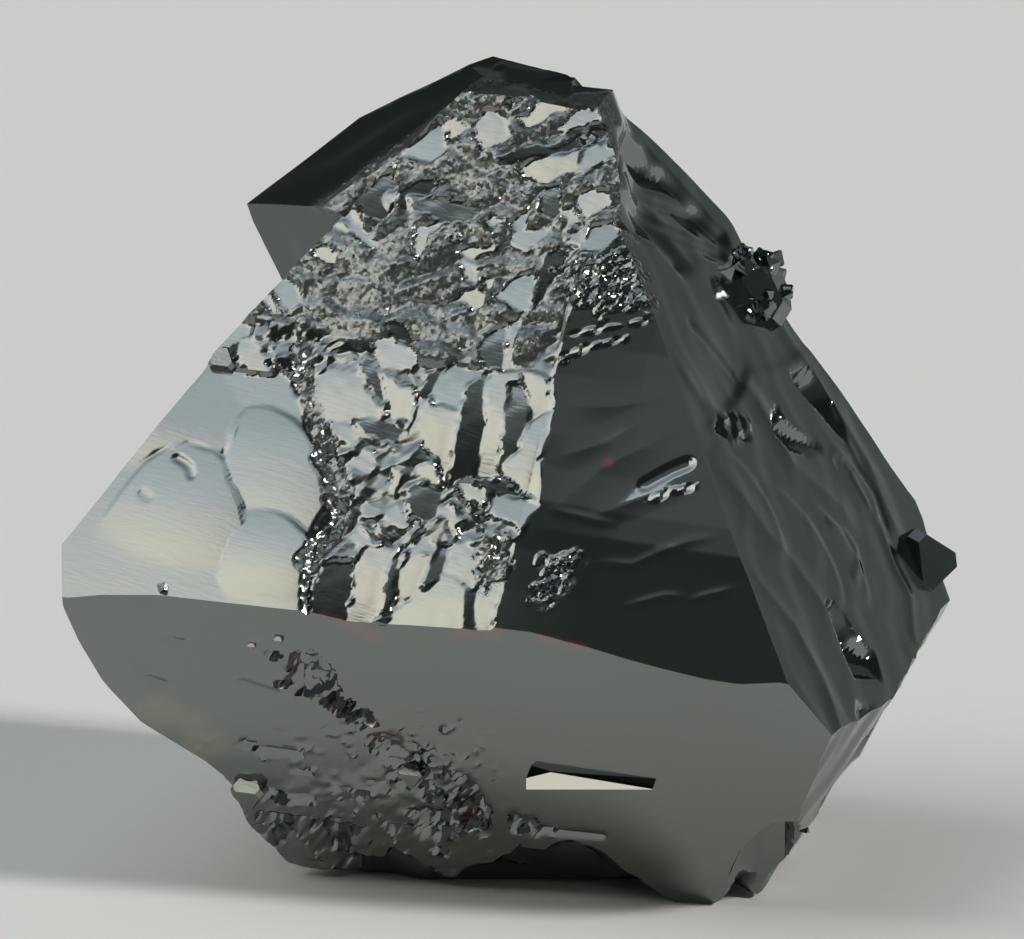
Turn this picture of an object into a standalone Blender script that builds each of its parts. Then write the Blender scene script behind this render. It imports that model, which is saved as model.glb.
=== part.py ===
"""Cuprite specimen: crystals grown together and broken off at the base.

One large octahedron stands on its broken base. A second crystal has grown through its upper left
back, and small crystals and a druse lump sit on its edges. Everything is one stone, so it is one
solid. Metres, +Z up. The large bright face looks towards -Y, and the origin is in the middle of
the footprint of the whole specimen, on the plane that it stands on.

Each crystal is first roughed out flat, a little outside its faces. Then each face is cut by a
grid that carries its relief and is thickened outwards.
"""
from math import radians

import bmesh
import bpy
import numpy as np
from mathutils import Matrix, Vector

MM = 0.001

# Where the large crystal's centre is, in mm, and how its axes lie.
BASE_TO_CENTRE = 13.75
CENTRE = Vector((-0.16, 1.1, BASE_TO_CENTRE))
TURN = radians(28.25)
LEAN = radians(3.72)
CRYSTAL_AXES = Matrix.Rotation(LEAN, 3, "Y") @ Matrix.Rotation(TURN, 3, "Z")

# Distances in mm from the large crystal's centre to its faces. An index is the face's direction
# on the crystal's own axes: x to the right, y to the back, z up.
UPPER_FRONT = ((-1, -1, 1), 14.0)
UPPER_RIGHT = ((1, -1, 1), 14.3)
LOWER_FRONT = ((-1, -1, -1), 14.45)
LOWER_RIGHT = ((1, -0.98, -0.72), 19.05)
UPPER_BACK_LEFT = ((-1, 1, 1), 14.35)
UPPER_BACK_RIGHT = ((1, 1, 1), 13.2)
LOWER_BACK_LEFT = ((-1, 1, -1), 14.0)
LOWER_BACK_RIGHT = ((1, 1, -1), 14.2)
CUT_TOP = ((-0.10, -0.12, 1), 20.63)
CUT_RIGHT_TIP = ((1, 0, 0), 17.85)
CUT_RIGHT_CORNER = ((1, -0.70, -0.69), 17.50)
CUT_LEFT_TIP = ((-1, 0.49, -0.13), 20.06)

# The second crystal's faces, measured from the large crystal's centre on the same axes.
SECOND_UPPER_LEFT = ((-0.78, 0.03, 1), 17.79)
SECOND_LOWER_LEFT = ((-1, -0.35, -1), -4.36)
SECOND_LEFT = ((-1, 1, -0.3), 9.60)
SECOND_BACK = ((-0.25, 1, 0.5), 15.14)
SECOND_UPPER_BACK = ((-0.35, 0.54, 1), 19.87)
SECOND_BACK_RIGHT = ((1, 0.5, 0.8), 13.74)
SECOND_REAR = ((-0.1, 1, -0.2), 12.0)
SECOND_LOWER_BACK = ((0.4, 1, -1), 3.5)

# Where the second crystal ends inside the large one.
SECOND_FRONT_END = ((-1, -1, 1), 13.3)
SECOND_RIGHT_END = ((1, -1, 1), 13.4)
SECOND_LOWER_END = ((0.2, -0.6, -0.9), -4.0)

# Grid spacings in mm: what is seen most has the finest relief.
FINE = 0.65
MEDIUM = 1.15
COARSE = 1.9

# The rough block stands this far outside the faces, and a cutter covers more than one face.
ROUGH_SIZE = 90.0
ROUGH_EXCESS = 1.4
FACE_REACH = 23.1
CUTTER_DEPTH = 5.0

# The middle of the broken base is worn flat: its half-width and how far it lies behind the centre.
FLAT_HALF_WIDTH = 5.5
FLAT_BEHIND_CENTRE = -0.8


def blend(values, start, end):
    """A smooth rise from 0 at start to 1 at end."""
    t = np.clip((values - start) / (end - start), 0, 1)
    return t * t * (3 - 2 * t)


def chips(u, v, size, tilt, seed):
    """Flat chips about size mm wide, each tilted its own way by up to tilt (a slope)."""
    table = np.random.default_rng(seed).random((32, 32, 4))
    column, row = np.floor(u / size).astype(int), np.floor(v / size).astype(int)
    nearest = np.full(u.shape, np.inf)
    height = np.zeros(u.shape)
    for step_u in (-1, 0, 1):
        for step_v in (-1, 0, 1):
            cell = table[(column + step_u) % 32, (row + step_v) % 32]
            du = u - (column + step_u + cell[..., 0]) * size
            dv = v - (row + step_v + cell[..., 1]) * size
            distance = du * du + dv * dv
            slope_u, slope_v = 2 * cell[..., 2] - 1, 2 * cell[..., 3] - 1
            plane = tilt * (slope_u * du + slope_v * dv + 0.35 * size * (slope_u - slope_v))
            closer = distance < nearest
            height = np.where(closer, plane, height)
            nearest = np.where(closer, distance, nearest)
    return height


def terraces(distance, pitch, rise):
    """Level treads pitch mm wide with a drop of rise mm in the last quarter of each."""
    step = distance / pitch
    return -rise * (np.floor(step) + blend(step % 1.0, 0.72, 1.0))


def growth_layers(u, v, centre_u, centre_v, pitch, rise):
    """Three-sided growth layers stacked round a point, as on the faces of an octahedron."""
    du, dv = u - centre_u, v - centre_v
    rim = np.maximum(np.maximum(-dv, 0.5 * dv + 0.866 * du), 0.5 * dv - 0.866 * du)
    return terraces(rim + 0.4 * np.sin(0.9 * du + 0.6 * dv), pitch, rise)


def hollow(u, v, points, width, depth):
    """A sunk line through points: depth mm at its middle, width mm from there to its rim."""
    nearest = np.full(u.shape, np.inf)
    for (u0, v0), (u1, v1) in zip(points, points[1:]):
        du, dv = u1 - u0, v1 - v0
        along = np.clip(((u - u0) * du + (v - v0) * dv) / (du * du + dv * dv), 0, 1)
        nearest = np.minimum(nearest, np.hypot(u - u0 - along * du, v - v0 - along * dv))
    return -depth * (1 - blend(nearest, 0.35 * width, width))


def shell_lobe(u, v, centre_u, centre_v, radius, rise):
    """A growth lobe like the edge of a shell: it climbs to the upper right and ends in a scarp."""
    du, dv = u - centre_u, v - centre_v
    climb = blend(0.55 * du + 0.83 * dv, -1.6 * radius, 0.9 * radius)
    return rise * climb * (1 - blend(np.hypot(du, dv), 0.86 * radius, 1.1 * radius))


def edge_profile(position, places, distances, face):
    """How far a face stands off its plane along one edge, from distances at a few places."""
    return np.interp(position, places, distances) - face[1]


# Each relief gives heights in mm over a face. Its places are in mm from the foot of the crystal's
# centre on that face: u to the right along a level line, v up the face.


def upper_front_relief(u, v):
    """The bright face: two flats meeting at a blunt ridge, lobes, a valley, chips and ridges."""
    ridge_u = 6.0 - 0.2 * v
    right = blend(u, ridge_u - 0.3, ridge_u + 0.3)
    height = -0.06 * np.clip(u - ridge_u, 0, 5.5) + 0.03 * np.clip(u - ridge_u, -14, 0)
    upper = blend(v + 0.15 * u, 2.2, 4.0)
    left = 1 - blend(u + 0.35 * v, -5.0, -3.2)
    for lobe in ((-13.0, -7.4, 3.4, 0.45), (-11.1, -5.6, 2.7, 0.5), (-7.6, -3.3, 2.9, 0.55),
                 (-6.8, -7.7, 2.5, 0.5), (-10.3, 0.4, 2.2, 0.4), (-8.3, 3.4, 2.4, 0.4)):
        height += left * shell_lobe(u, v, *lobe)
    height += hollow(u, v, ((-6.6, 2.4), (-4.4, -1.6), (-4.0, -5.0), (-2.9, -10.4)), 1.5, 0.55)
    middle = (1 - left) * (1 - right) * (1 - upper)
    height += middle * (chips(u, v, 2.3, 0.16, 3) - 0.16 * np.cos(2 * np.pi * (u + 0.2 * v) / 1.9))
    height += upper * chips(u, v, 2.1, 0.24, 5)
    height += 0.7 * upper * (1 - right) * chips(u + 0.7, v - 0.4, 3.9, 0.16, 8)
    height += hollow(u, v, ((0.6, 3.4), (1.3, 0.4), (0.6, -3.4)), 0.8, 0.35)
    wave = np.sin(2 * np.pi * (v - 0.42 * u + 0.25 * np.sin(0.8 * u)) / 3.1)
    height += right * (1 - 0.5 * upper) * 0.17 * wave
    height += right * hollow(u, v, ((8.2, -3.6), (10.6, -0.2)), 0.9, 0.3)
    return height


def upper_right_relief(u, v):
    """Flow-like growth steps along the outer edge, and a ragged sunk patch near the top."""
    along, across = 0.5 * u + 0.866 * v, 0.866 * u - 0.5 * v
    height = terraces(across + 0.9 * np.sin(0.35 * along) + 0.35 * np.sin(1.1 * along + 1), 4.3, 0.28)
    height += 0.09 * across - 0.24
    sunk = blend(v + 0.45 * u, 7.2, 7.9) * (1 - blend(v, 12.5, 14.0))
    height += sunk * (chips(u, v, 2.4, 0.3, 12) - 0.55)
    height += 0.2 * (0.5 - blend(v + 0.08 * u, 0.0, 0.8))
    for points, width, depth in ((((-8.4, 0.6), (-5.6, -0.6)), 0.9, 0.4),
                                 (((-3.1, -0.6), (0.2, -3.2)), 1.0, 0.45),
                                 (((4.6, 0.7), (4.1, -2.8)), 1.5, 0.9),
                                 (((-7.4, -8.9), (-6.6, -12.8)), 1.1, 0.9),
                                 (((-10.2, -13.0), (-9.4, -14.1)), 0.8, 0.6),
                                 (((-12.4, 0.3), (-11.8, 1.0)), 4.2, 0.45),
                                 (((-7.4, 6.6), (-6.8, 7.4)), 3.4, -0.25)):
        height += hollow(u, v, points, width, depth)
    return height


def lower_front_relief(u, v):
    """A smooth face with a chain of pits, two notches, and a rough lower left corner."""
    pits = hollow(u, v, ((-6.4, 6.9), (-4.2, 5.2), (-1.6, 3.2), (0.9, 0.6), (3.2, -1.3)), 1.6, 0.9)
    height = pits * (1 + 2.2 * chips(u, v, 1.7, 0.3, 21))
    rough = (1 - blend(v - 0.55 * u, 1.5, 4.2)) * (1 - blend(u, 2.4, 5.2))
    height += rough * (chips(u, v, 2.2, 0.3, 23) - 0.2)
    height += hollow(u, v, ((-7.4, 0.9), (-4.6, 0.5)), 0.8, 0.4)
    height += hollow(u, v, ((4.2, -1.8), (7.8, -2.6)), 1.0, 0.6)
    height += hollow(u, v, ((-11.9, 5.6), (-11.4, 6.3)), 1.9, 0.3)
    height += hollow(u, v, ((-11.0, 10.3), (-10.6, 10.4)), 0.9, 0.5)
    return height


def lower_right_relief(u, v):
    """Low growth layers on a face that meets the base."""
    return growth_layers(u, v, -4, 2, 3.4, 0.15)


def upper_back_left_relief(u, v):
    """The face behind the bright one, with a small step in the edge between them."""
    edge = edge_profile(0.5 * u - 0.866 * v, (-12, 4.2, 5.0, 9.2, 15, 18),
                        (14.6, 14.75, 14.5, 14.25, 13.8, 13.4), UPPER_BACK_LEFT)
    return edge + 0.8 * growth_layers(u, v, 3, -2, 3.1, 0.16)


def upper_back_right_relief(u, v):
    """The face behind the right-hand one, bowed by growth so that its edge curves."""
    edge = edge_profile(0.5 * u + 0.866 * v, (-16, -12, -10.5, -9, -5.9, -1.6, 1, 3, 6, 9, 11.5, 14),
                        (8.1, 8.8, 9.0, 9.4, 10.6, 11.5, 12.5, 14.0, 13.95, 13.5, 12.8, 12.3),
                        UPPER_BACK_RIGHT)
    return edge + growth_layers(u, v, -2, 3, 3.6, 0.14) + 0.3


def lower_back_left_relief(u, v):
    """The hidden lower left face, rounded towards the left tip and notched above the base."""
    edge = edge_profile(0.5 * u + 0.866 * v, (-4, 0.5, 2.9, 4.3, 7.5, 10.2, 12.7, 15, 17.2),
                        (13.4, 13.9, 13.05, 13.3, 14.6, 14.7, 14.2, 13.4, 12.0), LOWER_BACK_LEFT)
    back = blend(u, 2.0, -4.0)
    return edge + back * chips(u, v, 3.2, 0.25, 31)


def lower_back_right_relief(u, v):
    """The hidden lower right face: growth layers, and broken near the base."""
    rough = 1 - blend(v, -4.5, -1.5)
    return growth_layers(u, v, 2, 3, 3.3, 0.2) + 0.35 + rough * chips(u, v, 3.0, 0.28, 35)


def top_relief(u, v):
    """A few tilted flats on the blunt top."""
    return 0.25 * chips(u, v, 2.6, 0.3, 41)


def tip_relief(u, v):
    """Chipped ends of the side corners."""
    return chips(u, v, 2.2, 0.12, 43)


def second_relief(u, v):
    """Nearly smooth faces with a few low growth steps."""
    return 0.6 * growth_layers(u, v, 1.5, 2.5, 3.8, 0.12) + 0.1


def base_relief(x, y):
    """The broken base seen from below: hollows in a plane, which is flat in the middle.

    Each hollow is a place on the plane, a radius and a depth, in mm from the crystal's centre.
    """
    rough = 0.85 + chips(x, y, 4.2, 0.34, 51)
    from_middle = np.maximum(np.abs(x), np.abs(y - FLAT_BEHIND_CENTRE))
    outside = blend(from_middle, FLAT_HALF_WIDTH, FLAT_HALF_WIDTH + 1.6)
    height = -np.clip(rough, 0, None) * outside * 0.9
    for place_x, place_y, radius, depth in ((-6.2, -7.6, 2.6, 1.3), (2.6, -10.8, 3.3, 1.8),
                                            (12.6, -15.2, 4.4, 3.6), (10.8, -13.0, 2.0, 1.0),
                                            (-3.0, -8.8, 1.3, -1.0), (7.9, -11.6, 2.4, -1.2)):
        height -= depth * (1 - blend(np.hypot(x - place_x, y - place_y), 0.2 * radius, radius))
    return np.minimum(height, 0)


def add_object(name, mesh_source, collection, material=None):
    """Puts a bmesh into a collection as an object at the origin, its places in metres."""
    mesh = bpy.data.meshes.new(name)
    mesh_source.to_mesh(mesh)
    mesh_source.free()
    thing = bpy.data.objects.new(name, mesh)
    collection.objects.link(thing)
    if material:
        mesh.materials.append(material)
    else:
        thing.hide_render = True
        thing.display_type = "WIRE"
    return thing


def face_frame(index, axes):
    """A face's outward direction, its level line to the right, and its upward line."""
    outward = (axes @ Vector(index)).normalized()
    level = (axes @ Vector((0, 0, 1))).cross(outward)
    if level.length < 0.3:
        level = axes @ Vector((1, 0, 0)) - outward * outward.dot(axes @ Vector((1, 0, 0)))
    level.normalize()
    return outward, level, outward.cross(level)


def relief_cutter(name, frame, origin, distance, spacing, relief, reach, collection):
    """All that lies outside one face: a grid with the face's relief, thickened outwards."""
    outward, level, upward = frame
    steps = max(2, round(2 * reach / spacing))
    sheet = bmesh.new()
    bmesh.ops.create_grid(sheet, x_segments=steps, y_segments=steps, size=reach)
    places = np.array([corner.co[:2] for corner in sheet.verts])
    heights = distance + relief(places[:, 0], places[:, 1])
    extruded = bmesh.ops.extrude_face_region(sheet, geom=sheet.faces[:])["geom"]
    far_side = [item for item in extruded if isinstance(item, bmesh.types.BMVert)]
    near_side = [corner for corner in sheet.verts if corner not in set(far_side)]
    for corner, height in zip(near_side, heights):
        corner.co.z = height
    for corner in far_side:
        corner.co.z = distance + CUTTER_DEPTH
    turn = Matrix((level, upward, outward)).transposed().to_4x4()
    bmesh.ops.transform(sheet, matrix=Matrix.Scale(MM, 4) @ Matrix.Translation(origin) @ turn,
                        verts=sheet.verts)
    bmesh.ops.triangulate(sheet, faces=sheet.faces[:])
    bmesh.ops.recalc_face_normals(sheet, faces=sheet.faces[:])
    return add_object(name, sheet, collection)


def cut(thing, cutter):
    modifier = thing.modifiers.new(cutter.name, "BOOLEAN")
    modifier.operation = "DIFFERENCE"
    modifier.object = cutter


def join(thing, other):
    modifier = thing.modifiers.new(other.name, "BOOLEAN")
    modifier.operation = "UNION"
    modifier.object = other


def rough_crystal(name, planes, collection, material=None):
    """A cube split along flat planes a little outside the faces, so that only a crystal is left."""
    stone = bmesh.new()
    bmesh.ops.create_cube(stone, size=ROUGH_SIZE)
    for outward, distance in planes:
        bmesh.ops.bisect_plane(stone, geom=stone.verts[:] + stone.edges[:] + stone.faces[:], dist=1e-4,
                               plane_co=outward * (distance + ROUGH_EXCESS), plane_no=outward,
                               clear_outer=True)
        bmesh.ops.holes_fill(stone, edges=[edge for edge in stone.edges if edge.is_boundary])
    bmesh.ops.translate(stone, verts=stone.verts, vec=CENTRE)
    bmesh.ops.scale(stone, verts=stone.verts, vec=(MM, MM, MM))
    bmesh.ops.triangulate(stone, faces=stone.faces[:])
    bmesh.ops.recalc_face_normals(stone, faces=stone.faces[:])
    return add_object(name, stone, collection, material)


def octahedron(name, place, radius, turn, corner_cut, collection):
    """A small crystal: six points, their hull, and its corners cut off."""
    crystal = bmesh.new()
    for axis in range(3):
        for side in (-1, 1):
            point = Vector((0, 0, 0))
            point[axis] = side * radius[axis]
            crystal.verts.new(point)
    bmesh.ops.convex_hull(crystal, input=crystal.verts[:])
    if corner_cut:
        bmesh.ops.bevel(crystal, geom=crystal.verts[:], offset=corner_cut, offset_type="OFFSET",
                        affect="VERTICES", segments=1)
    spin = Matrix.Rotation(radians(turn[0]), 4, "X") @ Matrix.Rotation(radians(turn[1]), 4, "Y")
    spin = spin @ Matrix.Rotation(radians(turn[2]), 4, "Z")
    move = Matrix.Scale(MM, 4) @ Matrix.Translation(CENTRE + Vector(place)) @ spin
    bmesh.ops.transform(crystal, matrix=move, verts=crystal.verts)
    bmesh.ops.triangulate(crystal, faces=crystal.faces[:])
    bmesh.ops.recalc_face_normals(crystal, faces=crystal.faces[:])
    return add_object(name, crystal, collection)


def lump(name, place, radius, seed, collection):
    """A druse lump: the hull of points scattered on a squashed ball, so that it is all facets."""
    points = np.random.default_rng(seed).normal(size=(34, 3))
    points /= np.linalg.norm(points, axis=1)[:, None]
    stone = bmesh.new()
    for point in points * np.array(radius):
        stone.verts.new(CENTRE + Vector(place) + Vector(point))
    bmesh.ops.convex_hull(stone, input=stone.verts[:])
    bmesh.ops.scale(stone, vec=(MM, MM, MM), verts=stone.verts)
    bmesh.ops.recalc_face_normals(stone, faces=stone.faces[:])
    return add_object(name, stone, collection)


def sliver_notch(name, collection):
    """The long bright sliver cut sharply into the lower front face, its floor facing upwards."""
    outward, level, upward = face_frame(LOWER_FRONT[0], CRYSTAL_AXES)
    corners = ((3.9, 0.45), (5.0, 1.15), (10.9, 1.2), (9.0, 0.55), (4.6, 0.2))
    wedge = bmesh.new()
    for depth in (-0.75, 1.0):
        for along, height in corners:
            place = outward * (LOWER_FRONT[1] + depth) + level * along + upward * height
            wedge.verts.new((CENTRE + place) * MM)
    bmesh.ops.convex_hull(wedge, input=wedge.verts[:])
    bmesh.ops.triangulate(wedge, faces=wedge.faces[:])
    bmesh.ops.recalc_face_normals(wedge, faces=wedge.faces[:])
    return add_object(name, wedge, collection)


def cuprite_material():
    """Dark stone with a metallic lustre."""
    material = bpy.data.materials.new("cuprite")
    material.use_nodes = True
    shader = material.node_tree.nodes["Principled BSDF"]
    shader.inputs["Base Color"].default_value = (0.035, 0.032, 0.033, 1)
    shader.inputs["Metallic"].default_value = 0.0
    shader.inputs["Roughness"].default_value = 0.16
    shader.inputs["IOR"].default_value = 2.6
    material.diffuse_color = (0.12, 0.11, 0.12, 1)
    return material


for old in list(bpy.data.objects):
    bpy.data.objects.remove(old)

specimen = bpy.data.collections.new("cuprite_specimen")
cutters = bpy.data.collections.new("cutters")
bpy.context.scene.collection.children.link(specimen)
bpy.context.scene.collection.children.link(cutters)

# The second crystal, left taller than the large one until both are cut off at the top
top_frame = face_frame(CUT_TOP[0], CRYSTAL_AXES)
second_faces = {"second_upper_left": SECOND_UPPER_LEFT, "second_lower_left": SECOND_LOWER_LEFT,
                "second_left": SECOND_LEFT, "second_back": SECOND_BACK,
                "second_upper_back": SECOND_UPPER_BACK, "second_back_right": SECOND_BACK_RIGHT,
                "second_rear": SECOND_REAR, "second_lower_back": SECOND_LOWER_BACK}
second_frames = {name: face_frame(face[0], CRYSTAL_AXES) for name, face in second_faces.items()}
second_planes = [(second_frames[name][0], face[1]) for name, face in second_faces.items()]
second_planes.append((top_frame[0], CUT_TOP[1] + 1))
for index, distance in (SECOND_FRONT_END, SECOND_RIGHT_END, SECOND_LOWER_END):
    second_planes.append(((CRYSTAL_AXES @ Vector(index)).normalized(), distance - ROUGH_EXCESS))
second = rough_crystal("second_crystal", second_planes, cutters)
for name, face in second_faces.items():
    cut(second, relief_cutter(name, second_frames[name], CENTRE, face[1], COARSE, second_relief,
                              FACE_REACH, cutters))

# The large crystal
faces = {"upper_front": (UPPER_FRONT, FINE, upper_front_relief),
         "upper_right": (UPPER_RIGHT, MEDIUM, upper_right_relief),
         "lower_front": (LOWER_FRONT, MEDIUM, lower_front_relief),
         "lower_right": (LOWER_RIGHT, COARSE, lower_right_relief),
         "upper_back_left": (UPPER_BACK_LEFT, COARSE, upper_back_left_relief),
         "upper_back_right": (UPPER_BACK_RIGHT, COARSE, upper_back_right_relief),
         "lower_back_left": (LOWER_BACK_LEFT, COARSE, lower_back_left_relief),
         "lower_back_right": (LOWER_BACK_RIGHT, COARSE, lower_back_right_relief),
         "right_tip": (CUT_RIGHT_TIP, COARSE, tip_relief),
         "right_corner": (CUT_RIGHT_CORNER, COARSE, tip_relief),
         "left_tip": (CUT_LEFT_TIP, COARSE, tip_relief)}
frames = {name: face_frame(face[0][0], CRYSTAL_AXES) for name, face in faces.items()}
base_frame = (Vector((0, 0, -1)), Vector((1, 0, 0)), Vector((0, -1, 0)))
planes = [(frames[name][0], face[1]) for name, (face, spacing, relief) in faces.items()]
planes += [(top_frame[0], CUT_TOP[1]), (base_frame[0], BASE_TO_CENTRE)]
crystal = rough_crystal("cuprite_crystal", planes, specimen, cuprite_material())
for name, (face, spacing, relief) in faces.items():
    cut(crystal, relief_cutter(name, frames[name], CENTRE, face[1], spacing, relief,
                               FACE_REACH, cutters))
cut(crystal, sliver_notch("sliver_notch", cutters))

# What has grown onto it
join(crystal, second)
for name, place, radius, turn, corner_cut in (
        ("left_edge_crystal", (-12.6, -6.4, 9.5), (0.9, 0.9, 0.9), (0, 4, 28), 0.25),
        ("bright_crystal", (-11.5, -7.6, -9.4), (1.0, 1.2, 0.9), (25, -20, 40), 0.25),
        ("black_crystal", (18.3, 1.3, -0.9), (2.3, 2.6, 2.1), (12, 28, 20), 0.6),
        ("crumb", (12.5, -14.6, -9.9), (0.5, 0.6, 0.45), (0, 30, 10), 0.0)):
    join(crystal, octahedron(name, place, radius, turn, corner_cut, cutters))
join(crystal, lump("druse_lump", (10.5, 2.9, 10.2), (1.8, 2.4, 2.6), 61, cutters))

# The blunt top, and the broken base that the specimen stands on
cut(crystal, relief_cutter("top", top_frame, CENTRE, CUT_TOP[1], COARSE, top_relief, FACE_REACH,
                           cutters))
cut(crystal, relief_cutter("broken_base", base_frame, CENTRE, BASE_TO_CENTRE, MEDIUM,
                           lambda x, flipped_y: base_relief(x, -flipped_y), FACE_REACH, cutters))
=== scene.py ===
"""Cuprite hand specimen: one large octahedral crystal with its growth relief, a second crystal
grown through it, small crystals and a druse lump on its edges, standing on its broken base.

Metres, +Z up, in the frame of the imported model. The sections follow the stone as it grew.
"""
from math import cos, radians, sin

import bmesh
import bpy
import numpy as np
from mathutils import Matrix, Vector


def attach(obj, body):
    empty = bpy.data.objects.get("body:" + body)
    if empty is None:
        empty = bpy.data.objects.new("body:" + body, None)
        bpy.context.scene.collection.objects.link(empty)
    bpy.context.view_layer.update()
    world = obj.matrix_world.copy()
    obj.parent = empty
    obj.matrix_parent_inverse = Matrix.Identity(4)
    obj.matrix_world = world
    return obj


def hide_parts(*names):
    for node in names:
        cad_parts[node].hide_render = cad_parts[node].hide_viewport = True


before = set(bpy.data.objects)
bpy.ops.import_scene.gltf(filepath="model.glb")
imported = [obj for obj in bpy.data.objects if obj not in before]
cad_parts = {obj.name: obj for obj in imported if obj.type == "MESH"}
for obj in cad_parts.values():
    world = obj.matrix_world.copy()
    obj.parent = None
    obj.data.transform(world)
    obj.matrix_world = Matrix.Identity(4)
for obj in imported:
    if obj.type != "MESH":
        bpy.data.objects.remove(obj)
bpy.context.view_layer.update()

# The large crystal's faces
# A natural octahedron of cuprite, which leans a little to the right. Each face is a direction on
# the crystal's own axes (x to the right, y to the back, z up) and a distance in mm from its centre.
MM = 0.001
CENTRE = Vector((-0.16, 1.1, 13.75))
CRYSTAL_AXES = Matrix.Rotation(radians(3.72), 3, "Y") @ Matrix.Rotation(radians(28.25), 3, "Z")
UPPER_FRONT = ((-1, -1, 1), 14.0)
UPPER_RIGHT = ((1, -1, 1), 14.3)
LOWER_FRONT = ((-1, -1, -1), 14.45)
LOWER_RIGHT = ((1, -0.98, -0.72), 19.05)
UPPER_BACK_LEFT = ((-1, 1, 1), 14.35)
UPPER_BACK_RIGHT = ((1, 1, 1), 13.2)
LOWER_BACK_LEFT = ((-1, 1, -1), 14.0)
LOWER_BACK_RIGHT = ((1, 1, -1), 14.2)
BLUNT_TOP = ((-0.10, -0.12, 1), 20.63)
RIGHT_TIP = ((1, 0, 0), 17.85)
RIGHT_CORNER = ((1, -0.70, -0.69), 17.50)
LEFT_TIP = ((-1, 0.49, -0.13), 20.06)

# The bright upper front face
# A growth face with shell-like lobes at its left, then a rough valley, flat plates that each lean
# their own way, a blunt ridge, and long soft ridges right of it. A crust of small crystals grew
# over the upper part. Places are mm on the face: u to the right along a level line, v up the face.
SIN_60 = 0.866
RIDGE = ((-11, -8, -6, -5, -3.7, -2, -0.5, 1, 2.4, 16),
         (4.3, 4.2, 4.3, 4.6, 4.95, 4.7, 4.65, 4.4, 4.2, 4.2))
SMOOTH_SIDE = ((-11, -8, -6.5, -4, -2.6, -0.9, 0.8, 2.2),
               (-4.2, -4.7, -4.9, -4.1, -5.2, -6.4, -7.4, -9.9))
SHELL_LOBES = (
    (((-14.2, -6.7), (-13.6, -5.2), (-13, -4), (-12.5, -3.5), (-12, -3.1), (-11.4, -2.9),
      (-10.8, -3), (-10.1, -3.2), (-9.6, -3.5), (-9.3, -4), (-9.1, -4.5), (-8.8, -4.8),
      (-8.3, -5.5), (-7.9, -6.4), (-7.7, -7.6), (-8, -9.1), (-9.6, -10.6), (-12.8, -10.8),
      (-14.9, -9.8)),
     -11.0, -6.3, 3.2, 0.14),
    (((-9.4, -3.4), (-9.5, -2), (-9.4, -1.3), (-9.2, -0.9), (-9, -0.8), (-8.6, -0.7), (-8.1, -0.7),
      (-7.6, -0.9), (-6.9, -1.2), (-6.2, -1.7), (-5.5, -2.5), (-4.7, -3.5), (-4.3, -4.4),
      (-4.4, -5.9), (-5.3, -7.1), (-7.1, -7.3), (-8.7, -5.5)), -7.2, -4.0, 3.0, 0.14),
    (((-8.3, -7), (-8.4, -6.1), (-8.3, -5.8), (-8, -5.6), (-7.5, -5.55), (-7, -5.6), (-6.6, -5.7),
      (-6.1, -5.9), (-5.7, -6.1), (-5, -6.6), (-4.3, -7.2), (-3.7, -8.3), (-3.6, -10.3),
      (-5.4, -10.6), (-7.3, -10.5), (-8.4, -8.9)), -6.4, -8.2, 2.5, 0.16))
GREY_FACET = ((-10.8, 0.8), (-9.2, -0.9), (-9.3, -1.6), (-9.5, -2.7), (-9.8, -3.3), (-10.7, -2.9),
              (-11.4, -2.8), (-12.7, -3.4), (-13.4, -4.2), (-15.0, -5.0), (-12.9, -1.5),
              (-11.5, 0.8))
SMALL_HOLLOWS = ((((-11.7, -3.6), (-11.3, -3.8), (-11.0, -4.0), (-10.8, -4.4)), 0.24, 0.07),
                 (((-12.8, -5.5), (-12.5, -5.7)), 0.3, 0.02))
VALLEY = ((-7.4, 2.4), (-6.7, 0.3), (-5.3, -1.8), (-4.9, -3.0), (-4.0, -4.6), (-3.5, -6.0),
          (-4.3, -7.0), (-4.6, -7.8))
DARK_PLACES = ((-2.4, 6.7, 3.0), (-5.5, 9.5, 1.8), (-9.6, 3.0, 1.6), (3.2, 7.2, 1.8),
               (2.0, 4.0, 1.4), (-7.6, 3.2, 1.2), (2.2, 10.6, 1.0), (-2.6, 9.9, 1.2),
               (0.5, 6.0, 1.0))
SPARKLES = ((-1.6, 8.3, 0.55), (3.2, 13.9, 0.6), (3.3, 11.75, 0.5), (3.2, 7.4, 0.35),
            (-0.5, 15.1, 0.6), (-2.9, 11.0, 0.3), (7.0, 8.2, 0.4), (4.6, 3.1, 0.3))
SPARKLING_PATCHES = (
    ((2.6, -5.2), (3.4, -5.6), (4.2, -5.6), (4.3, -7.4), (3.6, -8.4), (3.1, -7.6)),
    ((5.8, -6.2), (7.3, -5.8), (7.2, -7.0), (6.6, -8.4), (5.8, -8.3)),
    ((5.6, 5.4), (8.0, 6.4), (6.6, 8.6), (3.6, 8.2), (3.4, 6.4)))
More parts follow.
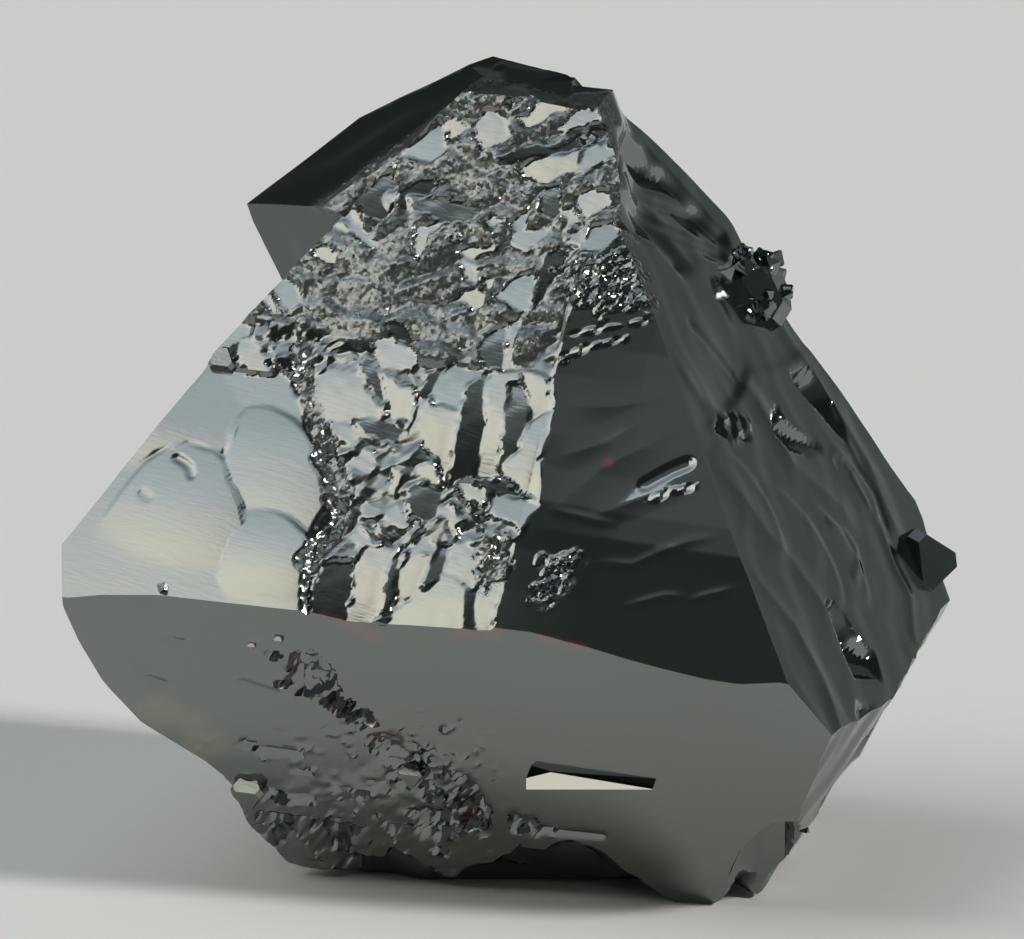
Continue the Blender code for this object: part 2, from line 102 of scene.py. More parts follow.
SOFT_RIDGES = (
    (((5.3, -4.6), (6.3, -3.2), (7.5, -1.6), (8.8, -0.5), (10.8, 1.0)), 1.6, 0.03),
    (((7.0, -4.3), (8.8, -3.2), (10.3, -2.3), (12.1, -1.5)), 0.9, 0.035),
    (((7.4, -6.3), (8.2, -6.1), (9.7, -6.0), (10.7, -5.3), (11.8, -4.6), (13.2, -4.1)), 0.4, 0.022),
    (((9.6, -8.0), (10.3, -7.7), (11.4, -7.2), (12.4, -7.1)), 0.3, 0.018),
    (((12.4, -7.3), (13.0, -7.0), (14.4, -6.4)), 0.3, 0.018),
    (((5.4, -4.0), (8.7, -4.3)), 0.3, 0.015),
    (((4.9, 0.9), (7.2, 1.3), (9.8, 2.2)), 1.0, 0.025),
    (((5.2, -1.6), (7.4, -0.4), (9.4, 1.4)), 0.9, 0.025))
LONG_HOLLOW = (((9.4, -2.2), (10.4, -1.3), (11.0, -0.9)), 0.4, 0.07)
STREAKS = (((9.5, -2.95), (10.1, -2.45), (10.7, -2.2), (10.7, -2.5), (10.1, -2.85)),
           ((10.65, -2.5), (10.75, -2.15), (11.75, -1.7), (11.75, -2.05)),
           ((4.6, 4.35), (5.3, 4.75), (6.2, 5.1), (6.6, 5.1), (5.8, 4.7), (5.0, 4.35)),
           ((4.4, 3.3), (5.0, 3.75), (5.9, 4.2), (5.9, 3.95), (5.1, 3.4)),
           ((5.9, 3.98), (5.9, 4.22), (7.1, 4.72), (7.1, 4.5)),
           ((7.0, 5.4), (7.9, 5.75), (8.0, 5.6), (7.1, 5.25)))

# How far a plate of each kind rises per mm to the right and up the face: what it mirrors, and so
# its tone, follows from that. Outlines are u, v, u, v and so on, in tenths of a millimetre.
PLATE_TILTS = {"cream": (0.02, 0.06), "pale": (0.025, 0.0), "blue": (0.025, -0.05),
               "grey": (0.0, -0.1), "dark": (-0.1, -0.04), "black": (-0.17, 0.0)}
PLATE_OUTLINES = (
    ("pale", (-64, 10, -58, 14, -52, 15, -44, 14, -40, 8, -33, 1, -31, -3, -30, -7, -37, -8, -45,
     -10, -54, -11, -59, -8, -62, -1)),
    ("dark", (-44, 24, -38, 22, -34, 14, -31, 8, -29, 3, -31, 0, -34, 3, -38, 8, -41, 12, -44, 15,
     -45, 20)),
    ("cream", (-32, 14, -28, 13, -24, 10, -18, 10, -16, 6, -16, 0, -17, -4, -20, -5, -23, -6, -24,
     -8, -27, -6, -29, 3, -31, 8)),
    ("black", (-8, 22, -4, 24, -9, 12, -12, 6, -12, -1, -14, -8, -15, -12, -17, -11, -16, -5, -15,
     3, -15, 10, -14, 17)),
    ("blue", (-4, 24, 9, 21, 9, 18, 5, 11, 5, 5, 5, 0, -2, 2, -7, 3, -10, 6, -9, 11)),
    ("cream", (-10, 6, -7, 3, -2, 2, 5, 0, 6, -9, 6, -17, 7, -25, 7, -37, 4, -30, 1, -26, -1, -22,
     -8, -17, -10, -12, -13, -11, -12, -5, -12, 3)),
    ("black", (10, 21, 15, 22, 15, 16, 15, 9, 18, 0, 19, -8, 19, -16, 19, -24, 18, -28, 15, -31,
     10, -35, 8, -36, 7, -29, 6, -17, 6, -9, 5, 3, 5, 11, 9, 18)),
    ("cream", (15, 22, 28, 23, 29, 17, 26, 14, 26, 8, 26, -1, 27, -10, 28, -21, 31, -25, 30, -28,
     24, -28, 19, -29, 19, -16, 19, -8, 18, 0, 15, 9, 15, 16)),
    ("dark", (25, 16, 29, 17, 32, 14, 35, 9, 36, 2, 36, -5, 36, -13, 33, -19, 28, -24, 27, -12, 26,
     -1, 26, 9)),
    ("cream", (28, 23, 33, 24, 41, 22, 43, 16, 45, 6, 39, 1, 37, 4, 35, 11, 31, 17)),
    ("pale", (45, 6, 46, -4, 47, -10, 46, -17, 48, -28, 49, -37, 42, -33, 32, -27, 29, -24, 33,
     -19, 36, -13, 37, -4, 39, 1)),
    ("black", (12, -33, 18, -30, 24, -30, 32, -30, 38, -33, 45, -37, 38, -38, 30, -36, 31, -46, 28,
     -48, 27, -41, 24, -35, 18, -32)),
    ("pale", (7, -39, 8, -37, 13, -33, 18, -33, 24, -36, 26, -41, 26, -44, 20, -42, 15, -38, 11,
     -38)),
    ("black", (12, -36, 17, -40, 26, -44, 22, -45, 15, -41)),
    ("pale", (7, -44, 13, -44, 16, -46, 19, -50, 17, -53, 17, -58, 13, -53, 9, -50)),
    ("black", (11, -43, 16, -45, 18, -48, 16, -47, 13, -45)),
    ("grey", (29, -37, 46, -37, 50, -39, 47, -47, 46, -54, 41, -50, 33, -48, 30, -43)),
    ("pale", (16, -63, 22, -61, 30, -64, 32, -67, 31, -77, 30, -83, 27, -82, 19, -77, 15, -76, 16,
     -68)),
    ("cream", (-5, -102, 0, -94, 5, -88, 11, -82, 15, -76, 19, -77, 27, -82, 29, -91, 29, -103, 14,
     -105, 5, -106, -4, -106)),
    ("cream", (-1, -70, 9, -68, 10, -70, 8, -77, 6, -86, 4, -88, -3, -93, -5, -86, -5, -78)),
    ("blue", (0, -61, 8, -63, 10, -67, 0, -69, -2, -70)),
    ("dark", (10, -63, 15, -63, 16, -68, 15, -74, 14, -80, 12, -80, 9, -85, 7, -83, 9, -75, 10,
     -70)),
    ("dark", (-7, -64, -4, -65, -1, -59, 2, -57, 0, -60, -5, -69, -6, -78, -6, -84, -4, -91, -5,
     -97, -9, -98, -10, -90, -10, -82, -10, -75, -7, -70)),
    ("cream", (-21, -67, -15, -66, -12, -67, -8, -69, -10, -75, -10, -82, -10, -90, -10, -98, -13,
     -107, -27, -109, -24, -98, -22, -92, -24, -86, -25, -79, -23, -73, -22, -68)),
    ("black", (-34, -76, -27, -75, -25, -81, -23, -88, -24, -97, -27, -110, -38, -112, -42, -89,
     -37, -78)),
    ("black", (30, -84, 33, -82, 33, -86, 33, -93, 35, -104, 30, -105, 29, -91, 28, -85)),
    ("cream", (35, -77, 42, -76, 43, -81, 41, -89, 43, -103, 35, -104, 33, -93, 34, -85)),
    ("pale", (-39, -26, -33, -27, -26, -31, -28, -34, -33, -34, -37, -30)),
    ("pale", (-36, -20, -29, -22, -27, -25, -27, -29, -33, -26)),
    ("dark", (-42, -9, -35, -8, -28, -7, -22, -8, -19, -13, -21, -17, -26, -18, -31, -16, -36, -15,
     -40, -12)),
    ("blue", (-52, -12, -48, -11, -43, -11, -38, -19, -38, -24, -42, -21, -47, -18, -50, -17)),
    ("cream", (-20, -29, -15, -29, -13, -34, -14, -44, -17, -42, -18, -35)),
    ("cream", (-7, -27, -1, -25, 3, -31, 3, -37, 0, -36, -6, -32)),
    ("dark", (-8, -36, -2, -35, 6, -38, 7, -43, 6, -51, 0, -53, -6, -51, -9, -46, -10, -40)),
    ("blue", (-18, -48, -11, -47, -8, -51, -4, -56, -7, -59, -13, -56, -18, -52)),
    ("blue", (-29, -58, -21, -62, -15, -66, -24, -68, -31, -64)),
    ("dark", (-27, -58, -20, -60, -16, -64, -18, -65, -23, -62)),
    ("dark", (-21, -55, -16, -58, -10, -62, -12, -64, -17, -61)),
    ("grey", (-27, -47, -18, -48, -18, -52, -21, -55, -28, -55)),
    ("black", (-35, -39, -32, -41, -32, -49, -29, -52, -30, -59, -32, -63, -35, -57, -34, -50, -34,
     -45)),
    ("blue", (-50, 122, -46, 127, -42, 132, -40, 136, -36, 139, -34, 137, -31, 129, -31, 124, -36,
     118, -43, 120, -46, 120)),
    ("dark", (-66, 97, -62, 103, -57, 111, -53, 113, -48, 107, -50, 101, -47, 96, -49, 89, -56, 88,
     -61, 90)),
    ("pale", (-54, 99, -52, 102, -49, 102, -47, 100, -49, 96, -49, 94, -52, 96)),
    ("black", (-47, 100, -39, 111, -33, 111, -31, 108, -37, 100, -40, 96, -47, 96)),
    ("blue", (-69, 91, -65, 94, -61, 87, -57, 81, -50, 76, -54, 74, -60, 78, -66, 83, -70, 88)),
    ("cream", (-66, 94, -61, 87, -62, 86, -65, 90)),
    ("cream", (-72, 86, -68, 86, -65, 81, -67, 80, -71, 82, -73, 84)),
    ("cream", (-80, 71, -77, 74, -72, 73, -68, 71, -68, 65, -74, 66, -78, 68)),
    ("blue", (-93, 54, -88, 57, -84, 54, -81, 52, -79, 47, -80, 42, -83, 39, -89, 44, -93, 48, -96,
     51)),
    ("pale", (-98, 45, -95, 49, -91, 45, -90, 42, -90, 38, -94, 41)),
    ("pale", (-104, 22, -102, 25, -99, 26, -95, 23, -89, 18, -87, 17, -86, 10, -95, 9, -101, 13)),
    ("black", (-104, 23, -104, 18, -102, 14, -97, 10, -99, 10, -104, 14, -106, 19)),
    ("dark", (-80, 37, -78, 36, -77, 29, -72, 20, -71, 12, -73, 12, -76, 22)),
    ("dark", (-87, 24, -84, 17, -84, 10, -85, 10, -86, 17)),
    ("black", (-38, 40, -31, 40, -22, 33, -24, 30, -32, 31, -37, 36)),
    ("pale", (-42, 30, -37, 33, -25, 29, -20, 26, -21, 18, -36, 17, -39, 23)),
    ("dark", (-42, 101, -32, 102, -22, 102, -10, 101, -9, 94, -16, 92, -25, 90, -33, 93, -39, 94)),
    ("pale", (-36, 82, -34, 88, -27, 90, -25, 89, -29, 82, -29, 76, -30, 70, -34, 75)),
    ("cream", (-34, 139, -31, 141, -22, 139, -24, 136, -30, 130, -32, 134)),
    ("pale", (-21, 140, -16, 147, -11, 148, -6, 142, -2, 136, -5, 133, -11, 129, -14, 127, -19,
     133)),
    ("cream", (2, 147, 7, 154, 13, 156, 20, 156, 19, 151, 12, 147, 8, 143, 3, 140, -2, 146)),
    ("blue", (18, 141, 22, 149, 26, 152, 33, 154, 36, 148, 29, 144, 22, 141)),
    ("black", (-7, 123, 3, 130, 12, 133, 19, 132, 24, 137, 33, 145, 40, 146, 38, 140, 30, 134, 23,
     129, 13, 126, 5, 124, 0, 121)),
    ("cream", (4, 120, 10, 125, 20, 128, 32, 133, 31, 122, 26, 121, 19, 115, 11, 115)),
    ("blue", (32, 133, 40, 135, 45, 135, 46, 132, 41, 127, 34, 122, 31, 122)),
    ("pale", (33, 110, 40, 115, 48, 113, 50, 108, 44, 103, 38, 100, 34, 105)),
    ("pale", (28, 102, 33, 104, 38, 99, 32, 94, 30, 98)),
    ("grey", (33, 92, 39, 94, 41, 88, 40, 85, 36, 87)),
    ("grey", (42, 90, 43, 97, 51, 99, 55, 97, 57, 91, 50, 84, 42, 84)),
    ("black", (50, 84, 57, 91, 59, 89, 52, 82)),
    ("dark", (19, 112, 24, 115, 27, 106, 28, 101, 27, 97, 20, 98, 18, 105)),
    ("dark", (25, 97, 32, 93, 34, 86, 40, 85, 36, 80, 31, 84, 27, 88)),
    ("blue", (7, 93, 9, 98, 13, 100, 14, 92, 24, 92, 24, 89, 17, 83, 20, 82, 14, 80, 10, 84, 10,
     89)),
    ("blue", (7, 58, 12, 65, 16, 69, 23, 72, 24, 65, 25, 56, 24, 53, 17, 52, 13, 55)),
    ("pale", (-6, 94, -2, 97, 2, 94, 0, 90, -3, 90)),
    ("cream", (-13, 78, -8, 81, -3, 80, 4, 83, 3, 79, -4, 77, -5, 74, -11, 76)),
    ("cream", (-14, 52, -9, 55, -7, 58, -1, 61, 3, 60, 3, 53, -1, 50, -6, 53)),
    ("cream", (0, 66, 5, 67, 6, 63, 3, 61)),
    ("pale", (-12, 74, -7, 74, -3, 68, -3, 63, -8, 64, -10, 69)),
    ("black", (25, 78, 30, 84, 36, 80, 36, 72, 32, 68, 29, 57, 27, 54, 26, 65)),
    ("blue", (17, 47, 21, 48, 22, 41, 22, 30, 25, 24, 20, 23, 18, 38)),
    ("dark", (8, 39, 16, 45, 19, 29, 20, 23, 12, 22, 7, 32)),)
PLATES = [(kind, [(u / 10, v / 10) for u, v in zip(tenths[::2], tenths[1::2])])
          for kind, tenths in PLATE_OUTLINES]


def blend(values, start, end):
    """A smooth rise from 0 at start to 1 at end."""
    t = np.clip((values - start) / (end - start), 0, 1)
    return t * t * (3 - 2 * t)


def waver(u, v, pitch, seed):
    """Soft noise between -1 and 1: random values on a square lattice of pitch mm, blended."""
    table = np.random.default_rng(seed).uniform(-1, 1, (64, 64))
    x, y = u / pitch, v / pitch
    column, row = np.floor(x).astype(int), np.floor(y).astype(int)
    fx, fy = blend(x - column, 0, 1), blend(y - row, 0, 1)
    low, high = (table[column % 64, line % 64] * (1 - fx) + table[(column + 1) % 64, line % 64] * fx
                 for line in (row, row + 1))
    return low * (1 - fy) + high * fy


def scattered(u, v, size, seed, count):
    """One random point in each square cell of size mm. For each of the nine cells round a place:
    the cell's own count random numbers, and how far to the right of and above its point it is."""
    table = np.random.default_rng(seed).random((64, 64, count))
    column, row = np.floor(u / size).astype(int), np.floor(v / size).astype(int)
    for step_u in (-1, 0, 1):
        for step_v in (-1, 0, 1):
            cell = table[(column + step_u) % 64, (row + step_v) % 64]
            du = u - (column + step_u + cell[..., 0]) * size
            dv = v - (row + step_v + cell[..., 1]) * size
            yield cell, du, dv


def chips(u, v, size, tilt, seed):
    """Flat chips about size mm wide: the nearest of scattered points sets each one's own tilt."""
    nearest = np.full(u.shape, np.inf)
    height = np.zeros(u.shape)
    for cell, du, dv in scattered(u, v, size, seed, 4):
        distance = du * du + dv * dv
        slope_u, slope_v = 2 * cell[..., 2] - 1, 2 * cell[..., 3] - 1
        plane = tilt * (slope_u * du + slope_v * dv + 0.35 * size * (slope_u - slope_v))
        height = np.where(distance < nearest, plane, height)
        nearest = np.minimum(nearest, distance)
    return height


def three_sided(du, dv):
    """The greatest reach of a step (du, dv) along the three sides of a growth triangle."""
    return np.maximum(np.maximum(-dv, 0.5 * dv + SIN_60 * du), 0.5 * dv - SIN_60 * du)


def hillocks(u, v, size, tilt, drop, seed, wall=1.3, lean=(0, 0)):
    """Three-sided growth hillocks, each place on the highest of those round it: a leaning flat top,
    and walls that fall away from it."""
    height = np.full(u.shape, -np.inf)
    for cell, du, dv in scattered(u, v, size, seed, 5):
        top = drop * cell[..., 4] + (tilt * (2 * cell[..., 2] - 1) + lean[0]) * du
        top = top + (tilt * (2 * cell[..., 3] - 1) + lean[1]) * dv
        past_top = np.clip(three_sided(du, dv) - 0.4 * size, 0, None)
        height = np.maximum(height, top - wall * past_top)
    return height - drop


def line_distance(u, v, points):
    """Distance in mm from each place to a line through points."""
    nearest = np.full(u.shape, np.inf)
    for (u0, v0), (u1, v1) in zip(points, points[1:]):
        du, dv = u1 - u0, v1 - v0
        along = np.clip(((u - u0) * du + (v - v0) * dv) / (du * du + dv * dv), 0, 1)
        nearest = np.minimum(nearest, np.hypot(u - u0 - along * du, v - v0 - along * dv))
    return nearest


def depth_inside(u, v, outline):
    """Distance in mm from each place to a closed outline: above 0 inside it, below 0 outside."""
    closed = outline + outline[:1]
    inside = np.zeros(u.shape, bool)
    for (u0, v0), (u1, v1) in zip(closed, closed[1:]):
        crosses = (v0 > v) != (v1 > v)
        inside ^= crosses & (u < u0 + (v - v0) * (u1 - u0) / (v1 - v0 or 1e-9))
    distance = line_distance(u, v, closed)
    return np.where(inside, distance, -distance)


def hollow(u, v, points, width, depth):
    """A sunk line through points: depth mm at its middle, width mm from there to its rim."""
    return -depth * (1 - blend(line_distance(u, v, points), 0.35 * width, width))


def crest(u, v, points, width, height):
    """A ridge through points with a sharp top and sides that flatten out width mm away."""
    return height * np.clip(1 - line_distance(u, v, points) / width, 0, 1) ** 1.5


def bow(v):
    """Square of the distance in mm up the face from the level line where its bow is highest."""
    return (np.clip(v, -12, 4) + 3.5) ** 2


def crust_share(u, v):
    """Where small crystals cover the face, from 0 to 1."""
    share = blend(v + 0.12 * u + 0.3 * waver(u, v, 1.1, 2), 2.0, 2.5)
    return share * (1 - blend(u - 0.45 * v, 1.3, 2.2))


def valley_share(u, v):
    """Where the rough valley runs between the smooth left side and the plates."""
    return 1 - blend(line_distance(u, v, VALLEY) + 0.2 * waver(u, v, 0.6, 7), 0.3, 0.6)


def sparkling_share(u, v):
    """Patches of tiny upright crystals, some with a ragged outline and some round."""
    share = np.zeros(u.shape)
    for centre_u, centre_v, radius in SPARKLES:
        distance = np.hypot(u - centre_u, 1.4 * (v - centre_v))
        share = np.maximum(share, 1 - blend(distance, 0.6 * radius, radius))
    for outline in SPARKLING_PATCHES:
        ragged = depth_inside(u, v, outline) + 0.35 * waver(u, v, 0.35, 14)
        share = np.maximum(share, blend(ragged, -0.2, 0.2))
    return share


def plate_reach(u, v, outline):
    """The places on and round one plate, and how far each belongs to it, from 0 to 1."""
    low, high = np.min(outline, axis=0) - 0.3, np.max(outline, axis=0) + 0.3
    near = np.nonzero((u > low[0]) & (u < high[0]) & (v > low[1]) & (v < high[1]))
    ragged = 0.09 * waver(u[near], v[near], 0.35, 6)
    return near, blend(depth_inside(u[near], v[near], outline) + ragged, -0.13, 0.03)


def plate_share(u, v):
    """Where any plate lies, from 0 to 1."""
    share = np.zeros(u.shape)
    for _, outline in PLATES:
        near, inside = plate_reach(u, v, outline)
        share[near] = np.maximum(share[near], inside)
    return share


def upper_front_relief(u, v):
    """Broad form plus lobes, plates, valley, crust and ridges, each a height over its own area."""
    past_ridge = u - np.interp(v, *RIDGE)
    right = blend(past_ridge, -0.08, 0.08)
    left = 1 - blend(u - np.interp(v, *SMOOTH_SIDE), -0.1, 0.25)
    crust = crust_share(u, v)

    # Broad form: bowed left of the ridge, and right of it in two slopes, steeper away from v = -5.
    down_slope = np.clip(past_ridge, 0, 4)
    height = -0.075 * down_slope - 0.05 * np.clip(past_ridge - 4, 0, 12)
    height -= 0.25 * down_slope * (0.02 * np.clip(v + 5, 0, 9) + 0.03 * np.clip(-5 - v, 0, 7))
    height += 0.03 * np.clip(past_ridge, -30, 0)
    height -= 0.0028 * (1 - right) * bow(v)
    height -= left * (1 - crust) * 0.042 * (np.clip(v, -12, 2.5) + 5)

    # Lobes: low domes whose highest place is a quarter of a radius to the right and up.
    shells = np.zeros(u.shape)
    for outline, centre_u, centre_v, radius, rise in SHELL_LOBES:
        du, dv = u - centre_u, v - centre_v
        inner = depth_inside(u, v, outline) + 0.03 * waver(u, v, 0.9, 4)
        dome = rise * (1 - 0.4 * (du / radius - 0.25) ** 2 - 0.95 * (dv / radius - 0.28) ** 2)
        dome = 0.5 * (dome + np.sqrt(dome * dome + 0.0009))
        shells = np.maximum(shells, dome * blend(inner, -0.2, 0.05))
    height += left * shells
    facet = blend(depth_inside(u, v, GREY_FACET), -0.15, 0.15) * blend(v, -4.5, -1.5)
    height -= left * facet * 0.035 * (0.73 * (u + 10.8) + 0.686 * (v - 0.8))
    for sunk_line in SMALL_HOLLOWS:
        height += hollow(u, v, *sunk_line)

    # Hillocks between the plates, in the valley, and upright in the sparkling patches.
    middle = (1 - left) * (1 - right) * (1 - crust)
    height += middle * (hillocks(u, v, 1.3, 0.1, 0.16, 3, 0.4, (-0.05, -0.03))
                        + 0.5 * hillocks(u, v, 0.55, 0.16, 0.1, 9, 0.5) + 0.06)
    valley = valley_share(u, v) * (1 - right)
    height += valley * (hillocks(u, v, 0.5, 0.24, 0.2, 15, 0.6, (-0.25, -0.05)) - 0.15)
    upright = hillocks(1.8 * u, v, 0.45, 0.26, 0.15, 17, 0.5, (-0.12, -0.05)) + 0.06
    height += sparkling_share(u, v) * upright

    # Crust: coarse and fine hillocks, which lean down the face, and to the left in dark places.
    crust *= 1 - valley
    shade = np.zeros(u.shape)
    for centre_u, centre_v, radius in DARK_PLACES:
        distance = np.hypot(u - centre_u, v - centre_v)
        shade = np.maximum(shade, 1 - blend(distance, 0.4 * radius, radius))
    lean = (0.03 - 0.2 * shade, -0.2 + 0.09 * blend(u, -1.5, 2.5))
    height += crust * (hillocks(u, v, 1.3, 0.09, 0.2, 5, 0.4, lean) + 0.14)
    height += crust * 0.5 * hillocks(u + 0.3, v, 0.55, 0.14, 0.12, 8, 0.3, (0, -0.05))
    height += crust * 0.05 * waver(u, v, 2.6, 13)
    fine = chips(1.5 * u + 0.3 * v, 0.8 * v, 0.33, 0.1, 11)
    height += crust * fine * (0.6 + 0.4 * waver(u, v, 1.9, 12))

    # Plates: each a flat with its own tilt, slightly domed, laid over what is under it.
    turn = np.random.default_rng(18)
    for kind, outline in PLATES:
        tilt_u, tilt_v = PLATE_TILTS[kind] + turn.uniform(-0.015, 0.015, 2)
        middle_u, middle_v = np.mean(outline, axis=0)
        near, inside = plate_reach(u, v, outline)
        du, dv = u[near] - middle_u, v[near] - middle_v
        plane = 0.03 * (middle_u - 4.3) - 0.0028 * bow(middle_v)
        plane = plane + (tilt_u + 0.03 * (middle_u < 5)) * du + tilt_v * dv
        plane = plane - 0.02 * dv * dv - 0.004 * du * du + 0.006 * waver(du, dv, 0.5, 19)
        height[near] += inside * (plane - height[near])

    # Right of the ridge: long ridges that fade at both ends, and streaks of saw-tooth crystals.
    for points, width, rise in SOFT_RIDGES:
        start, end = points[0][0], points[-1][0]
        fade = 0.4 * (end - start)
        taper = blend(u, start - 0.2, start + fade) * (1 - blend(u, end - fade, end + 0.2))
        height += right * taper * crest(u, v, points, width, rise)
    height += right * hollow(u, v, *LONG_HOLLOW)
    for outline in STREAKS:
        middle_u, middle_v = np.mean(outline, axis=0)
        share = blend(depth_inside(u, v, outline) + 0.05 * waver(u, v, 0.25, 16), -0.06, 0.06)
        height += share * (0.15 * ((u - middle_u) % 1.1 - 0.55) + 0.1 * (v - middle_v) + 0.02)
    return height


# The other faces of the large crystal
# The upper right face carries flow-like growth steps and a ragged sunk patch, the lower front one
# a chain of pits, a few notches and a rough corner. The hidden ones have low three-sided layers.
PITS = (((-7.7, -8.9), (-6.5, -9.3), (-6.3, -10.9), (-5.5, -12), (-6.4, -13.2), (-7.5, -12.8),
         (-9, -12.3), (-8.6, -11.1), (-7.8, -9.8)),
        ((-10.4, -13.3), (-8.9, -13.8), (-8.8, -14.1), (-11.3, -14.1), (-11.4, -13.8)),
        ((3.8, 0.3), (5.8, 0.3), (6.2, -0.3), (6.2, -1.4), (6, -2.7), (5.4, -3.6), (5, -2.7),
         (4.6, -1.8), (4, -1), (3.6, -0.1)),
        ((0, -0.6), (-0.2, -1.1), (0.8, -2), (2, -2.7), (2.4, -3.3), (0, -3), (-1.7, -2.3),
         (-2.1, -1.4), (-1.5, -0.9)))
FLOW_BANDS = (
    (((-11.8, -0.2), (-9.8, -3.0), (-9.3, -5.2), (-8.4, -6.7), (-8.0, -9.1)), 1.5, 0.07),
    (((-14.0, -4.3), (-13.6, -6.0), (-12.4, -9.0), (-12.7, -11.7), (-14.0, -13.9)), 1.2, 0.07),
    (((5.9, 2.4), (6.3, -0.8), (6.4, -4.7), (5.1, -7.8)), 1.3, 0.07),
    (((-3.2, 3.4), (-1.9, 0.2), (-2.1, -3.1), (0.5, -5.9)), 1.6, 0.08),
    (((-8.2, 2.7), (-7.7, 1.3), (-6.4, 0.4)), 1.0, 0.06),
    (((-1.9, -6.1), (-0.7, -6.8), (-0.6, -7.6), (-1.3, -8.3), (-2.7, -8.7)), 0.5, 0.06),
    (((3.7, -4.9), (3.6, -6.3)), 0.35, 0.05),
    (((5.5, -2.1), (5.5, -4.2)), 0.35, 0.05),
    (((-9.6, 6.5), (-8.6, 4.6), (-8.2, 2.7)), 1.2, 0.06),
    (((3.6, -7.5), (2.6, -9.2), (2.3, -10.8), (0.1, -12.3)), 0.7, 0.05))
SUNK_PATCH = ((-5.2, 10.4), (-4.4, 9.0), (-2.8, 8.6), (-2.0, 6.6), (0.6, 6.6), (4.2, 6.0),
              (5.2, 7.2), (3.2, 11.0), (1.0, 13.2), (-1.6, 13.4), (-4.0, 12.0))
FRONT_LEDGE = ((-8.5, -4, -0.7, 1.6, 4.3, 5.4), (0.3, 0.6, 1.4, 1.0, 0.9, 0.9))
ROUGH_LEDGE = ((-7.9, 0.4), (-5.9, 0.4), (-3.9, -0.4), (-5.1, -1.1), (-7.2, -0.9), (-8.3, 0))
RIGHT_GROOVES = ((((-7.4, 9.9), (-6.0, 10.3), (-5.0, 10.0)), 0.6, 0.4),
                 (((3.0, -4.0), (5.0, -4.5), (5.2, -6.0), (4.3, -7.5)), 0.35, 0.05),
                 (((-4.2, 4.5), (-3.2, 3.0), (-2.6, 1.8)), 0.35, 0.05))
ROUND_STEPS = ((-3.2, -7.4, 2.2, 0.05), (3.4, -5.3, 1.6, 0.05),
               (-6.4, -6.4, 2.6, 0.05), (-9.6, -3.4, 2.4, 0.04))
LOWER_PITS = (
    (((-6.5, 7.0), (-5.5, 6.8), (-4.2, 7.2), (-3.2, 6.0), (-3.0, 4.8), (-4.5, 4.5), (-6.0, 4.8),
      (-5.2, 5.8)), 0.5, 0.55),
    (((-4.5, 4.3), (-2.5, 3.0), (-1.7, 3.0), (-1.6, 3.8), (-3.2, 4.9)), 0.5, 0.7),
    (((-3.4, 2.7), (-3.0, 2.0), (-2.0, 2.8), (-2.6, 3.1)), 0.4, 0.2),
    (((-2.2, 2.4), (-0.4, 2.6), (1.0, 1.4), (2.4, 0.6), (3.0, -1.0), (2.9, -3.0), (1.4, -3.2),
      (0.4, -1.6), (-1.2, -0.6), (-2.2, 0.8)), 0.55, 0.25),
    (((1.2, -0.4), (2.6, -0.2), (2.9, -2.8), (1.6, -3.0)), 0.7, 0.6),
    (((4.0, -1.5), (4.9, -1.5), (5.8, -2.3), (4.5, -2.9), (3.7, -2.6)), 1.2, 0.4))
LOWER_GROOVES = ((((-8.0, 0.8), (-7.5, 0.6), (-5.6, 0.5)), 0.3, 0.2),
                 (((-7.6, -2.3), (-5.4, -2.3)), 0.35, 0.3),
                 (((5.6, -2.4), (8.0, -2.3)), 0.25, 0.15),
                 (((-11.9, 5.3), (-11.8, 6.6)), 1.0, 0.08),
                 (((-12.0, 4.2), (-11.4, 4.0)), 0.3, 0.12),
                 (((-7.6, 4.6), (-6.2, 4.2)), 0.5, 0.08),
                 (((-10.8, 6.9), (-10.0, 6.8)), 0.25, 0.1),
                 (((1.8, 4.9), (3.8, 5.3)), 0.15, 0.02),
                 (((12.5, 1.3), (15.0, 1.8)), 0.15, 0.015),
                 (((12.0, -1.5), (14.0, -1.4)), 0.15, 0.015),
                 (((-1.0, 9.2), (-0.6, 9.1)), 0.2, 0.1))
FRONT_EDGE = ((-16, -15, -13.5, -11, -5, 3, 6, 8.5, 10.5, 12, 14, 15.5, 17.2),
              (0.3, 0.31, 0.0, -0.26, -0.21, -0.31, -0.58, -0.46, -0.2, -0.04, 0.12, 0.1, -0.3))


def growth_layers(u, v, centre_u, centre_v, pitch, rise):
    """Three-sided growth layers stacked round a point: level treads with a drop at each rim."""
    du, dv = u - centre_u, v - centre_v
    step = (three_sided(du, dv) + 0.4 * np.sin(0.9 * du + 0.6 * dv)) / pitch
    return -rise * (np.floor(step) + blend(step % 1.0, 0.55, 1.0))


def edge_profile(position, places, distances, face):
    """How far a face stands off its plane along one edge, from distances at a few places."""
    return np.interp(position, places, distances) - face[1]


